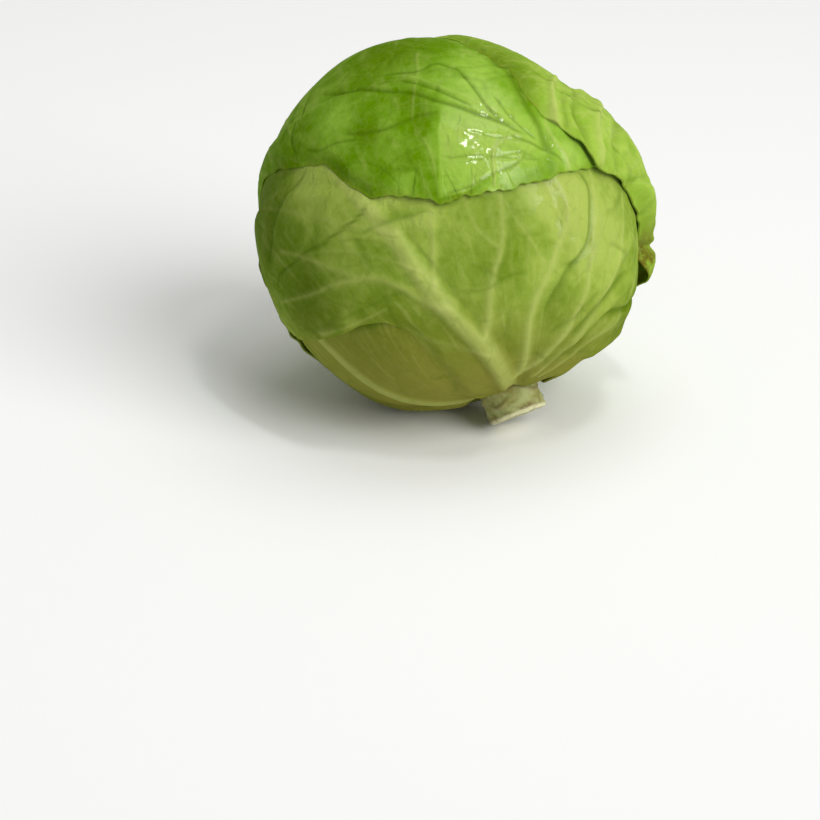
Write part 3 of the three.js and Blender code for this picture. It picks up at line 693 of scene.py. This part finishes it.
def leaf_mesh(name, cells, form):
    """The closed mesh of a leaf. Its inner face is the radius of what it lies on, plus its lift and its
    unevenness, which end where the head rests and under other leaves. Its outer face adds the blade,
    thinner at the margin, the midrib and the veins, and takes off the creases.

    Its fields are those of the relief, with the lightness, above 0 lighter and below 0 darker, which is
    partly the leaf's own tones and partly painted light and shade, edge at the margin, base near the stump,
    which reaches further up on the left, dry, and fan and along, which tell the ray of the fan of pleats
    and the place on it."""
    leaf, order = LEAVES[name], ORDER.index(name)
    sheet = leaf_grid(leaf, cells)
    ways = leaf.from_sheet(sheet)
    out, share = leaf.outside(ways)
    out = np.minimum(out, 0.0)
    polar, skin = arc_from(ways, STUMPWARD), ways * SKIN_RADIUS
    off_floor = smooth((arc_from(ways, DOWNWARD) - 14) / 10)
    free = exposure(ways, order) * off_floor
    # the patches: the leaf's own lighter and darker greens, with painted light on the lit side and painted
    # shade on the shaded side
    hug, tone = np.minimum(spots(ways, leaf.hugs), 1), spots(ways, leaf.patches)
    height, depth, fields = leaf_relief(leaf, ways, sheet)

    ray = sheet - leaf.midrib[0] + [6.0, 0.0]  # from a point a little behind the leaf's base
    fan, along = np.degrees(np.arctan2(ray[:, 1], ray[:, 0])), np.linalg.norm(ray, axis=1)
    pleats = rough(np.stack([fan * 0.8, along * 0.25, 0 * fan], axis=1), order, PLEATS)
    uneven = 0.25 + rough(skin, order, BLADE_SWELLS) + np.clip(tone, 0, 1) * rough(skin, order, PUCKERS)
    uneven += pleats * (1 - smooth((polar - 35) / 60)) * smooth((polar - 11) / 10)
    crinkle = rough(skin, order, FRILLS) * rimward(out, RIM_REACH) + rough(skin, order, GRAIN)
    floor = inner_radius(ways, order)
    inner = floor + free * leaf.lift(ways, out, share)
    inner += free * (1 - hug * rimward(out, 6)) * (form.waviness * uneven + crinkle)
    inner = np.maximum(inner, floor - SINK)
    rim = form.rim * (1 - 0.8 * hug)
    outer = inner + MM_PER_M * (rim + (form.blade - rim) * smooth(-out / THIN_REACH))
    outer += form.rib_height * leaf.rib_height(sheet, False)
    outer += free * (form.vein_height * height - form.crease_depth * depth)
    touch = 0.4  # what comes this near the floor lies flat on it
    outer = place(ways, outer)
    outer[outer[:, 2] < touch, 2] = 0.0

    # shade lines add painted shade and light along lines to the lightness
    for line, right, left, blend, reach in leaf.shades:
        distance, passed = near_line(ways, line, 3 * reach)
        side = left + (right - left) * smooth(0.5 + distance / blend)
        tone += side * faded(passed, 0.3) * bell(distance, reach)
    leftward = 15 * np.tanh(2.4 * ways @ RIGHTWARD)
    fields.update(
        tone=tone, edge=rimward(out, 2.2), base=1 - smooth((polar - 20 + leftward) / 52),
        dry=spots(ways, leaf.dry) * rimward(out, 10), fan=fan / 60, along=along / 60,
    )
    return shell(name, outer, place(ways, inner), fields)


# ------------------------ meshes
def quads(grid):
    """Four-sided faces of a grid of point numbers."""
    return np.stack([grid[:-1, :-1], grid[1:, :-1], grid[1:, 1:], grid[:-1, 1:]], axis=-1).reshape(-1, 4)


def new_mesh(name, points, faces, fields, flat=0):
    """A mesh from points in millimetres, arrays of faces and fields of a value per point. It is shaded
    smooth but for its last flat faces."""
    mesh = bpy.data.meshes.new(name + "_skin")
    mesh.from_pydata((points / MM_PER_M).tolist(), [], sum((part.tolist() for part in faces), []))
    mesh.polygons.foreach_set("use_smooth", np.arange(len(mesh.polygons)) < len(mesh.polygons) - flat)
    for label, values in fields.items():
        mesh.attributes.new(label, "FLOAT", "POINT").data.foreach_set("value", values.astype(np.float32))
    return mesh


def shell(name, outer, inner, fields):
    """A closed leaf from a square grid of outer points, and every other row and column of its inner
    points. They are joined along the rim by a band of five-sided faces, each between two cells of the
    outer grid and one of the inner."""

    def rim(grid):
        """Point numbers once round the edge of a grid."""
        return np.concatenate([grid[0, :-1], grid[:-1, -1], grid[-1, :0:-1], grid[:0:-1, 0]])

    count = round(len(outer) ** 0.5)
    top = np.arange(count * count).reshape(count, count)
    pick = top[::2, ::2]
    under = top.size + np.arange(pick.size).reshape(pick.shape)
    edge, back = rim(top), rim(under)
    band = np.stack([edge[::2], edge[1::2], np.roll(edge, -1)[1::2], np.roll(back, -1), back], axis=1)
    faces = [quads(top), quads(under)[:, ::-1], band]
    a, b, c = outer[faces[0][len(faces[0]) // 2 + count // 2, :3]]
    if np.cross(b - a, c - a) @ (a - CENTRE) < 0:
        faces = [part[:, ::-1] for part in faces]
    points = np.vstack([outer, inner[pick.ravel()]])
    fields = {label: np.append(values, values[pick.ravel()]) for label, values in fields.items()}
    return new_mesh(name, points, faces, fields, len(band))


def round_grid(name, points, fields):
    """A closed mesh from rows of points round an axis, the first and last row being single points that
    are used once. Each row joins its own end."""

    def once(rows):
        """The rows in one list, the first and the last as one point each."""
        return np.concatenate([rows[0, :1], rows[1:-1].reshape(-1, *rows.shape[2:]), rows[-1, :1]])

    rows, columns = points.shape[0] - 2, points.shape[1]
    ring = 1 + np.arange(rows * columns).reshape(rows, columns)
    ring = np.hstack([ring, ring[:, :1]])
    first, last = np.zeros(columns, int), np.full(columns, 1 + rows * columns)
    top = np.stack([first, ring[0, :-1], ring[0, 1:]], axis=1)
    bottom = np.stack([last, ring[-1, 1:], ring[-1, :-1]], axis=1)
    fields = {label: once(values) for label, values in fields.items()}
    return new_mesh(name, once(points), [quads(ring), top, bottom], fields)


def heart_mesh():
    """The heart on a grid of polar angle, from the crown to the stump, and azimuth about the stump. It
    lies a quarter of a millimetre below the radius that the leaves feel."""
    polar, azimuth = np.meshgrid(np.linspace(180, 0, 91), np.arange(0, 360, 2.5), indexing="ij")
    ways = directions(np.stack([polar, azimuth], axis=-1))
    radius = heart_radius(ways) - 0.25 + rough(ways * SKIN_RADIUS, 0, HEART_SWELLS)
    return round_grid("heart", place(ways, radius).reshape(*polar.shape, 3), {})


def stump_mesh():
    """The stalk on a grid of length and turn: a profile from the middle of its hidden end out, along its
    side, round the cut edge and back to the middle of the cut, which is slightly hollow. Leaf scars are
    crescent ledges on the side, each 2.4 radians on from the one before and further along."""
    ways = directions([[p, a] for p in range(0, 14, 2) for a in range(0, 360, 30)])
    start = (ways @ STUMPWARD * heart_radius(ways)).max() + 0.4
    end, r = start + STUMP_LENGTH, STUMP_RADIUS
    bevel, waist, hollow = 1.4, 0.35, 0.9
    side, corner = np.linspace(0, 1, 26), np.radians(np.linspace(0, 80, 6))
    inward = np.linspace(r - 1.6, 0, 26)
    hidden = np.stack([np.linspace(0, r - 1.5, 8)[:-1], np.full(7, start)], axis=1)
    wall = np.stack([r - waist * np.sin(np.pi * side), start + 1.2 + (STUMP_LENGTH - 2.6) * side], axis=1)
    edge = np.stack([r - bevel * (1 - np.cos(corner)), end - bevel * (1 - np.sin(corner))], axis=1)
    face = np.stack([inward, end - hollow * (1 - (inward / r) ** 2)], axis=1)
    profile = np.vstack([hidden, wall, edge[1:], face])
    radius, length = profile[:, :1], profile[:, 1:]
    turn = np.radians(np.arange(0, 360, 3.0))
    shape = len(profile), len(turn)
    on_side = smooth((radius - 0.6 * r) / (0.35 * r)) * smooth((length - start) / 3)
    scar = np.zeros(shape)
    for k in range(9):
        across = np.angle(np.exp(1j * (turn - 2.4 * k))) * r
        along = length - start - 2.0 - 1.25 * k + 0.06 * across**2
        scar = np.maximum(scar, on_side * bell(across, 5.0) * bell(along, 0.9))
    flutes = on_side * (0.3 * np.cos(3 * turn + 0.3 * length) + 0.15 * np.cos(8 * turn - 0.2 * length))
    round_way = np.cos(turn)[None, :, None] * FRONTWARD + np.sin(turn)[None, :, None] * RIGHTWARD
    away = radius + (flutes + 0.8 * on_side * scar) * smooth((end - length) / 2)
    points = away[..., None] * round_way + length[..., None] * STUMPWARD + CENTRE
    grain = 0.16 * noise(points.reshape(-1, 3), 2.2, 51).reshape(shape) * (radius > 0)
    points += grain[..., None] * (STUMPWARD + 0.5 * round_way)
    cut = smooth((length - end + 2.2) / 1.2)
    fields = {"ring": bell(radius, 0.9, 0.72 * r) * cut, "cut": cut, "end": smooth((length - end + 6) / 6)}
    fields = {label: np.broadcast_to(values, shape) for label, values in fields.items()}
    return round_grid("stump", points, {**fields, "scar": scar})


# ------------------------ shader maths
class Wire:
    """A socket that adds its Math node when it is used in an expression."""

    def __init__(self, paint, socket):
        self.paint, self.socket = paint, socket

    def maths(self, operation, *values, clamp=False):
        """The result of a Math node."""
        node = self.paint.node("ShaderNodeMath", {"operation": operation, "use_clamp": clamp}, *values)
        return Wire(self.paint, node.outputs[0])

    def __add__(self, other):
        return self.maths("ADD", self, other)

    def __sub__(self, other):
        return self.maths("SUBTRACT", self, other)

    def __mul__(self, other):
        return self.maths("MULTIPLY", self, other)

    def __rsub__(self, other):
        return self.maths("SUBTRACT", other, self)

    __radd__, __rmul__ = __add__, __mul__

    def held(self):
        """The value held between 0 and 1."""
        return self.maths("ADD", self, 0.0, clamp=True)

    def ramp(self, low, high):
        """0 to 1 with level ends as the value goes from low to high."""
        node = self.paint.node("ShaderNodeMapRange", {"interpolation_type": "SMOOTHSTEP"}, self, low, high)
        return Wire(self.paint, node.outputs[0])


class Paint:
    """A material and the nodes that make it. Lengths are in metres."""

    def __init__(self, name):
        self.material = bpy.data.materials.new(name)
        self.material.use_nodes = True
        self.tree = self.material.node_tree
        self.shader = self.tree.nodes["Principled BSDF"]
        self.where = self.node("ShaderNodeTexCoord").outputs["Object"]

    def node(self, kind, settings=None, *values, **named):
        """Adds a node: its settings first, then its sockets' values or links, by place or by name."""
        node = self.tree.nodes.new(kind)
        for key, value in (settings or {}).items():
            setattr(node, key, value)
        for key, value in [*enumerate(values), *named.items()]:
            self.put(node.inputs[key], value)
        return node

    def put(self, socket, value):
        """Links or sets one socket."""
        value = getattr(value, "socket", value)
        if isinstance(value, bpy.types.NodeSocket):
            self.tree.links.new(value, socket)
            return
        if socket.type == "RGBA" and len(value) == 3:
            value = (*value, 1.0)
        socket.default_value = value

    def finish(self, **named):
        """Sets or links the shader's own sockets, named with _ for each space."""
        for key, value in named.items():
            self.put(self.shader.inputs[key.replace("_", " ")], value)
        return self.material

    def field(self, name):
        """A value stored on the mesh."""
        return Wire(self, self.node("ShaderNodeAttribute", {"attribute_name": name}).outputs["Fac"])

    def vector(self, operation, *values):
        """The result of a Vector Math node."""
        return self.node("ShaderNodeVectorMath", {"operation": operation}, *values).outputs[0]

    def noise(self, size, detail=3.0, roughness=0.55, bend=0.0, where=None):
        """Cloudy noise from 0 to 1, in patches of about that size."""
        node = self.node(
            "ShaderNodeTexNoise", None, Vector=where or self.where, Scale=1.0 / size, Detail=detail,
            Roughness=roughness, Distortion=bend,
        )
        return Wire(self, node.outputs["Fac"])

    def net(self, size, width, bend, bend_size, shift=0.0):
        """A net of thin lines between cells of a size: 1 on a line, 0 beyond its width. The cells are
        bent by noise so that no line is straight, and shift times the bend moves them."""
        cloud = self.node("ShaderNodeTexNoise", None, Vector=self.where, Scale=1.0 / bend_size, Detail=2.0)
        centred = self.vector("SUBTRACT", cloud.outputs["Color"], (0.5 - shift,) * 3)
        bent = self.vector("MULTIPLY_ADD", centred, (bend,) * 3, self.where)
        cells = self.node(
            "ShaderNodeTexVoronoi", {"feature": "DISTANCE_TO_EDGE"}, Vector=bent, Scale=1.0 / size
        )
        return 1.0 - Wire(self, cells.outputs["Distance"]).ramp(0.0, width / size)

    def mix(self, share, under, over):
        """Colour under going to colour over by a share, which the node holds between 0 and 1."""
        node = self.node("ShaderNodeMix", {"data_type": "RGBA"})
        for index, value in ((0, share), (6, under), (7, over)):
            self.put(node.inputs[index], value)
        return node.outputs[2]

    def bump(self, height, depth):
        """A bump of a height from 0 to 1 times a depth."""
        return self.node("ShaderNodeBump", None, Height=height, Distance=depth, Strength=1.0).outputs[0]


def leaf_skin(name, colours, deep, light, gloss):
    """Leaf material: patches between two greens, which also hold painted light and shade, darker lines
    where inner leaves press through and dark creases, both painted shade in the dents, fine pale streaks
    that fan out from the stump, a faint net of veins, pale ribs and base, darker towards the stump as
    painted shade, a dry rim and a browned tip. Its coat of wax is thicker, and rippled, on the lighter
    patches, which are also paler there as a painted sheen."""
    paint = Paint(name)
    rib, vein, halo, painted_crease_shade, edge, base, patch, dry, fan, along = (
        paint.field(k)
        for k in ("rib", "vein", "halo", "painted_crease_shade", "edge", "base", "tone", "dry", "fan", "along")
    )
    rays = paint.node("ShaderNodeCombineXYZ", None, fan, along * 0.12).outputs[0]
    streak = paint.noise(0.028, 3.0, where=rays)
    blotch = paint.noise(0.032, 3.0, bend=0.6)
    cloud = paint.noise(0.013, 4.0, 0.6, bend=0.8)
    mottle = paint.noise(0.006, 4.0)
    fine = paint.net(0.0105, 0.0008, 0.010, 0.014)
    finer = paint.net(0.0036, 0.0006, 0.0025, 0.005)
    lines = paint.net(0.031, 0.0020, 0.010, 0.03, 0.31) * paint.noise(0.02, 2.0).ramp(0.42, 0.62)
    wrinkles = paint.net(0.013, 0.0012, 0.008, 0.018, 0.77) * cloud.ramp(0.45, 0.6)
    # wax on the lighter patches: a thicker, smoother coat, and a painted sheen that pales the colour there
    wax_and_painted_sheen = patch.ramp(0.05, 0.9)
    squat = paint.vector("MULTIPLY", paint.where, (1.0, 1.0, 0.5))
    ripple = (paint.noise(0.0052, 2.0, bend=0.5, where=squat) - 0.5) * wax_and_painted_sheen

    # the lightness that mixes the two greens: mottled tones plus the patches' painted light and shade
    tone = blotch.ramp(0.35, 0.65) * 0.3 + cloud.ramp(0.35, 0.65) * 0.35 + mottle.ramp(0.3, 0.7) * 0.25
    # darker towards the stump: painted shade low on the head
    tone = tone + 0.03 + patch + halo * 0.3 - base * 0.15
    # painted shade in the dents of the pressed lines and wrinkles, and in the creases
    dent_and_crease_shade = lines * (0.24 - wax_and_painted_sheen * 0.1) + wrinkles * (0.14 - wax_and_painted_sheen * 0.06) + painted_crease_shade * 0.65
    colour = paint.mix(tone, deep, light)
    for share, over in (
        # painted shade: patches below 0 go to the shaded green
        (patch * -0.8, colours.shade),
        # painted sheen: paler where the coat of wax is thick
        (wax_and_painted_sheen * 0.22, colours.vein),
        (streak.ramp(0.5, 0.75) * (base * 0.3 + 0.2), colours.vein),
        (fine * 0.045 + finer * 0.05, colours.vein),
        (base * (0.6 + blotch * 0.5), colours.base),
        (rib * 0.6 + vein * 0.6, colours.vein),
        # painted shade in the dents and creases
        (dent_and_crease_shade, colours.painted_crease_shade),
        (edge * paint.noise(0.004).ramp(0.35, 0.7) * 0.4, colours.rim),
        (dry * 1.7 * paint.noise(0.006, 4.0).ramp(0.3, 0.7), colours.dry),
    ):
        colour = paint.mix(share, colour, over)
    height = fine * (0.07 + wax_and_painted_sheen * 0.25) + finer * 0.04 + mottle * (0.5 - wax_and_painted_sheen * 0.35)
    height = height + streak * 0.35 - lines * 0.25 - wrinkles * 0.15 + ripple * 3.2
    return paint.finish(
        Base_Color=colour, Roughness=0.55 + mottle * 0.15 - wax_and_painted_sheen * 0.2, Specular_IOR_Level=0.0,
        Coat_Weight=(mottle * 0.08 + wax_and_painted_sheen * (4 * gloss)).held(), Coat_Roughness=0.08,
        Subsurface_Weight=0.10, Subsurface_Radius=(0.6, 1.0, 0.2), Subsurface_Scale=0.002,
        Normal=paint.bump(height, 0.0005),
    )


def heart_skin(colours):
    """Tight pale inner leaf: cream and light green blotches with fine pale veins."""
    paint = Paint("inner_leaf")
    blotch, fine = paint.noise(0.03), paint.net(0.009, 0.001, 0.006, 0.012)
    colour = paint.mix(blotch.ramp(0.3, 0.7), colours.base, colours.inner_light)
    return paint.finish(
        Base_Color=paint.mix(fine * 0.4, colour, colours.vein), Roughness=0.42 + blotch * 0.12,
        Coat_Weight=0.15, Coat_Roughness=0.2,
        Normal=paint.bump(fine * 0.6 + paint.noise(0.004) * 0.4, 0.0005),
    )


def stump_skin(colours):
    """Cut stalk: pale green bark with fine fibres and brown leaf scars, a cut face of pith with a ring of
    darker bundles, and brown along the cut."""
    paint = Paint("stalk")
    ring, cut, scar, end = (paint.field(k) for k in ("ring", "cut", "scar", "end"))
    fibre, stain = paint.noise(0.0012, 4.0), paint.noise(0.007, 4.0, bend=0.4)
    browned = (scar * (fibre * 0.6 + 0.4) + end * stain.ramp(0.35, 0.6)).held() * 0.8
    bundles = ring * paint.noise(0.0009, 2.0).ramp(0.4, 0.6) * 0.8
    bark = paint.mix(stain.ramp(0.35, 0.65), colours.stalk, colours.base)
    bark = paint.mix(browned, bark, colours.stalk_brown)
    face = paint.mix(fibre.ramp(0.3, 0.7) * 0.4, colours.pith, colours.stalk)
    for share in (bundles, stain.ramp(0.5, 0.75) * 0.6):
        face = paint.mix(share, face, colours.stalk_brown)
    return paint.finish(
        Base_Color=paint.mix(cut, bark, face), Roughness=0.55 + fibre * 0.25, Specular_IOR_Level=0.3,
        Normal=paint.bump(fibre * 0.6 + stain * 0.4, 0.0006),
    )


# ------------------------ pieces
def finish_piece(mesh, node, material):
    """Puts a mesh into the scene in place of the CAD node."""
    mesh.materials.append(material)
    piece = bpy.data.objects.new(node + "_skin", mesh)
    bpy.context.scene.collection.objects.link(piece)
    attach(piece, "root")
    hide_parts(node)


def build_leaf(context, name, greens, gloss, share=1.0):
    """Makes one leaf from the settings. greens says which pair of greens it has, and share cuts the
    cells of a smaller or hidden leaf."""
    form, colours = context.scene.cabbage_form, context.scene.cabbage_colours
    deep, light = getattr(colours, greens + "_deep"), getattr(colours, greens + "_light")
    mesh = leaf_mesh(name, int(form.cells * share) // 2 * 2, form)
    finish_piece(mesh, name, leaf_skin(name + "_skin", colours, deep, light, gloss))


# ------------------------ settings
def measure(name, description, default, top=0.01):
    """A length setting, in metres."""
    return bpy.props.FloatProperty(
        name=name, description=description, default=default, min=0.0, max=top, unit="LENGTH", precision=5
    )


def factor(name, description, default=1.0, top=3.0):
    """A setting that multiplies."""
    return bpy.props.FloatProperty(
        name=name, description=description, default=default, min=0.0, max=top, subtype="FACTOR"
    )


def tint(name, description, default):
    """A colour setting."""
    return bpy.props.FloatVectorProperty(
        name=name, description=description, default=default, min=0.0, max=1.0, size=3, subtype="COLOR"
    )


def light(name, description, default, subtype="NONE"):
    """A setting for how strong a light is."""
    return bpy.props.FloatProperty(
        name=name, description=description, default=default, min=0.0, subtype=subtype
    )


class CabbageForm(bpy.types.PropertyGroup):
    """Sizes of the leaves"""

    blade: measure("Blade", "Thickness of a leaf between its ribs", 0.001)
    rim: measure("Rim", "Thickness of a leaf at its margin", 0.0007)
    vein_height: factor("Vein height", "Height of the side veins, as a share of their usual height")
    rib_height: factor("Midrib height", "Height of the midribs, as a share of their fullest", 0.6, 1.0)
    crease_depth: factor("Crease depth", "Depth of the creases, as a share of their usual depth")
    waviness: factor("Waviness", "How much the blades swell and dip between the veins")
    cells: bpy.props.IntProperty(
        name="Cells", description="Cells along a side of a large leaf's grid", default=268, min=16, max=300
    )


class CabbageColours(bpy.types.PropertyGroup):
    """Colours of the head"""

    front_deep: tint("Front leaf, deep", "Darker green of the front leaf", (0.128, 0.220, 0.008))
    front_light: tint("Front leaf, light", "Lighter green of the front leaf", (0.302, 0.400, 0.064))
    cap_deep: tint("Cap leaf, deep", "Darker green of the cap leaf", (0.105, 0.238, 0.0))
    cap_light: tint("Cap leaf, light", "Lighter green of the cap leaf", (0.255, 0.430, 0.045))
    right_deep: tint("Right leaf, deep", "Darker green of the right leaf", (0.175, 0.315, 0.016))
    right_light: tint("Right leaf, light", "Lighter green of the right leaf", (0.312, 0.458, 0.062))
    inner_deep: tint("Inner leaves, deep", "Darker green of the inner leaves", (0.160, 0.203, 0.012))
    inner_light: tint("Inner leaves, light", "Lighter green of the inner leaves", (0.255, 0.302, 0.048))
    vein: tint("Veins", "Veins and ribs", (0.400, 0.450, 0.125))
    # the base green is kept dark in part as painted shade low on the head
    base: tint("Leaf base", "Pale thick base of the leaves", (0.215, 0.205, 0.036))
    # painted shade that darkens the creases and dents
    painted_crease_shade: tint("Creases", "Bottom of the creases", (0.060, 0.125, 0.0))
    # painted shade: the green that patches below 0 go to, on the left limb, low on the front and at the top
    # of the crown
    shade: tint("Shaded leaf", "Darkest green, low on the leaves", (0.075, 0.120, 0.002))
    rim: tint("Rim", "Dry patches along the margins", (0.210, 0.240, 0.020))
    dry: tint("Dry tip", "Browned tip of a torn margin", (0.120, 0.100, 0.010))
    stalk: tint("Stalk", "Side of the cut stalk", (0.36, 0.39, 0.15))
    stalk_brown: tint("Stalk, browned", "Dried patches of the stalk", (0.20, 0.14, 0.06))
    pith: tint("Pith", "Cut face of the stalk", (0.66, 0.64, 0.40))


class CabbageStage(bpy.types.PropertyGroup):
    """Floor and light"""

    floor: tint("Floor", "Colour of the plain floor", (0.90, 0.90, 0.89))
    key: light("Key light", "Strength of the broad main light", 2.4)
    fill: light("Fill light", "Power of the fill lamp", 4.6, "POWER")
    glint: light("Glint", "Power of the small lamp that makes the glints", 1.3, "POWER")
    sky: light("Room light", "Strength of the even light of the room", 0.32)


# the stage, in metres and degrees
FLOOR_HALF = 4.0
FLOOR_DROP = 0.0002  # below the part, so that two faces don't lie in one plane
ROOM_WHITE = (1.0, 1.0, 0.98, 1.0)
KEY_PLACE, KEY_ANGLE = (0.85, -0.75, 0.85), 40
FILL_PLACE, FILL_SIZE = (0.2, 0.2, 1.3), 0.9
GLINT_PLACE, GLINT_SIZE = (0.22, -0.33, 0.96), (0.05, 0.16)
LAMP_AIM = (0.0, 0.0, 0.07)
CAMERA_DISTANCE = 1.1  # from the centre of the heart
CAMERA_RISE = 22.0
CAMERA_TILT, CAMERA_TURN = 26.0853, 0.8516  # down and to the left, which sets the head's place in the view
LENS_ANGLE = 17.885


# ------------------------ operators
class CABBAGE_OT_heart(bpy.types.Operator):
    """Makes the tight heart under the wrapper leaves"""

    bl_idname = "cabbage.heart"
    bl_label = "Heart"

    def execute(self, context):
        finish_piece(heart_mesh(), "heart", heart_skin(context.scene.cabbage_colours))
        return {"FINISHED"}


class CABBAGE_OT_stump(bpy.types.Operator):
    """Makes the cut stump"""

    bl_idname = "cabbage.stump"
    bl_label = "Stump"

    def execute(self, context):
        finish_piece(stump_mesh(), "stump", stump_skin(context.scene.cabbage_colours))
        return {"FINISHED"}


class CABBAGE_OT_inner_leaves(bpy.types.Operator):
    """Makes the two inner leaves that show under the margins of the outer ones"""

    bl_idname = "cabbage.inner_leaves"
    bl_label = "Inner leaves"

    def execute(self, context):
        build_leaf(context, "leaf_inner_left", "inner", 0.02, 0.55)
        build_leaf(context, "leaf_inner_right", "inner", 0.02, 0.55)
        return {"FINISHED"}


class CABBAGE_OT_front_leaf(bpy.types.Operator):
    """Makes the large front leaf with its strong midrib"""

    bl_idname = "cabbage.front_leaf"
    bl_label = "Front leaf"

    def execute(self, context):
        build_leaf(context, "leaf_front", "front", 0.06)
        return {"FINISHED"}


class CABBAGE_OT_cap_leaf(bpy.types.Operator):
    """Makes the dark glossy leaf that comes over the crown from the back"""

    bl_idname = "cabbage.cap_leaf"
    bl_label = "Cap leaf"

    def execute(self, context):
        build_leaf(context, "leaf_cap", "cap", 0.14)
        return {"FINISHED"}


class CABBAGE_OT_side_leaves(bpy.types.Operator):
    """Makes the leaf at the back left and the right leaf with its lifted margin"""

    bl_idname = "cabbage.side_leaves"
    bl_label = "Side leaves"

    def execute(self, context):
        build_leaf(context, "leaf_back_left", "front", 0.06, 0.75)
        build_leaf(context, "leaf_right", "right", 0.10)
        return {"FINISHED"}


class CABBAGE_OT_stage(bpy.types.Operator):
    """Makes the floor, the lamps and the camera"""

    bl_idname = "cabbage.stage"
    bl_label = "Stage"

    def execute(self, context):
        scene, stage = context.scene, context.scene.cabbage_stage
        mesh = bpy.data.meshes.new("floor")
        half, low = FLOOR_HALF, -FLOOR_DROP
        corners = [(-half, -half, low), (half, -half, low), (half, half, low), (-half, half, low)]
        mesh.from_pydata(corners, [], [(0, 1, 2, 3)])
        mesh.materials.append(Paint("floor").finish(Base_Color=stage.floor, Roughness=0.85))
        floor = bpy.data.objects.new("floor", mesh)
        scene.collection.objects.link(floor)

        scene.world = bpy.data.worlds.new("room")
        scene.world.use_nodes = True
        room = scene.world.node_tree.nodes["Background"]
        room.inputs["Color"].default_value = ROOM_WHITE
        room.inputs["Strength"].default_value = stage.sky

        wide, tall = GLINT_SIZE
        slot = {"shape": "RECTANGLE", "size": wide, "size_y": tall}
        for name, kind, strength, settings, spot in (
            ("key", "SUN", stage.key, {"angle": np.radians(KEY_ANGLE)}, KEY_PLACE),
            ("fill", "AREA", stage.fill, {"size": FILL_SIZE}, FILL_PLACE),
            ("glint", "AREA", stage.glint, slot, GLINT_PLACE),
        ):
            lamp = bpy.data.lights.new(name, kind)
            for key, value in {"energy": strength, **settings}.items():
                setattr(lamp, key, value)
            lamp_object = bpy.data.objects.new(name, lamp)
            lamp_object.location = spot
            aim = Vector(LAMP_AIM) - lamp_object.location
            lamp_object.rotation_euler = aim.to_track_quat("-Z", "Y").to_euler()
            scene.collection.objects.link(lamp_object)

        lens = bpy.data.cameras.new("camera")
        lens.sensor_fit = "HORIZONTAL"
        lens.angle = np.radians(LENS_ANGLE)
        lens.clip_start, lens.clip_end = 0.05, 20.0
        camera = bpy.data.objects.new("camera", lens)
        rise = np.radians(CAMERA_RISE)
        camera.location = CENTRE / MM_PER_M + CAMERA_DISTANCE * np.array([0.0, -np.cos(rise), np.sin(rise)])
        camera.rotation_euler = np.radians([90 - CAMERA_TILT, 0.0, CAMERA_TURN])
        scene.collection.objects.link(camera)
        scene.camera = camera
        scene.view_settings.view_transform = "Standard"
        return {"FINISHED"}


class CABBAGE_PT_parts(bpy.types.Panel):
    """The pieces of the cabbage head and their settings"""

    bl_idname = "CABBAGE_PT_parts"
    bl_label = "Cabbage head"
    bl_space_type = "VIEW_3D"
    bl_region_type = "UI"
    bl_category = "Cabbage"

    def draw(self, context):
        for operator in OPERATORS:
            self.layout.operator(operator.bl_idname)
        for name in GROUPS:
            box, group = self.layout.box(), getattr(context.scene, name)
            for key in group.__annotations__:
                box.prop(group, key)


OPERATORS = (
    CABBAGE_OT_heart,
    CABBAGE_OT_stump,
    CABBAGE_OT_inner_leaves,
    CABBAGE_OT_front_leaf,
    CABBAGE_OT_cap_leaf,
    CABBAGE_OT_side_leaves,
    CABBAGE_OT_stage,
)
GROUPS = {"cabbage_form": CabbageForm, "cabbage_colours": CabbageColours, "cabbage_stage": CabbageStage}
CLASSES = (*GROUPS.values(), *OPERATORS, CABBAGE_PT_parts)


def register():
    for item in CLASSES:
        bpy.utils.register_class(item)
    for name, group in GROUPS.items():
        setattr(bpy.types.Scene, name, bpy.props.PointerProperty(type=group))


def unregister():
    for name in GROUPS:
        delattr(bpy.types.Scene, name)
    for item in reversed(CLASSES):
        bpy.utils.unregister_class(item)


def main():
    """Makes every piece and the stage."""
    register()
    for operator in OPERATORS:
        getattr(bpy.ops.cabbage, operator.bl_idname.split(".")[1])()


if __name__ == "__main__":
    main()
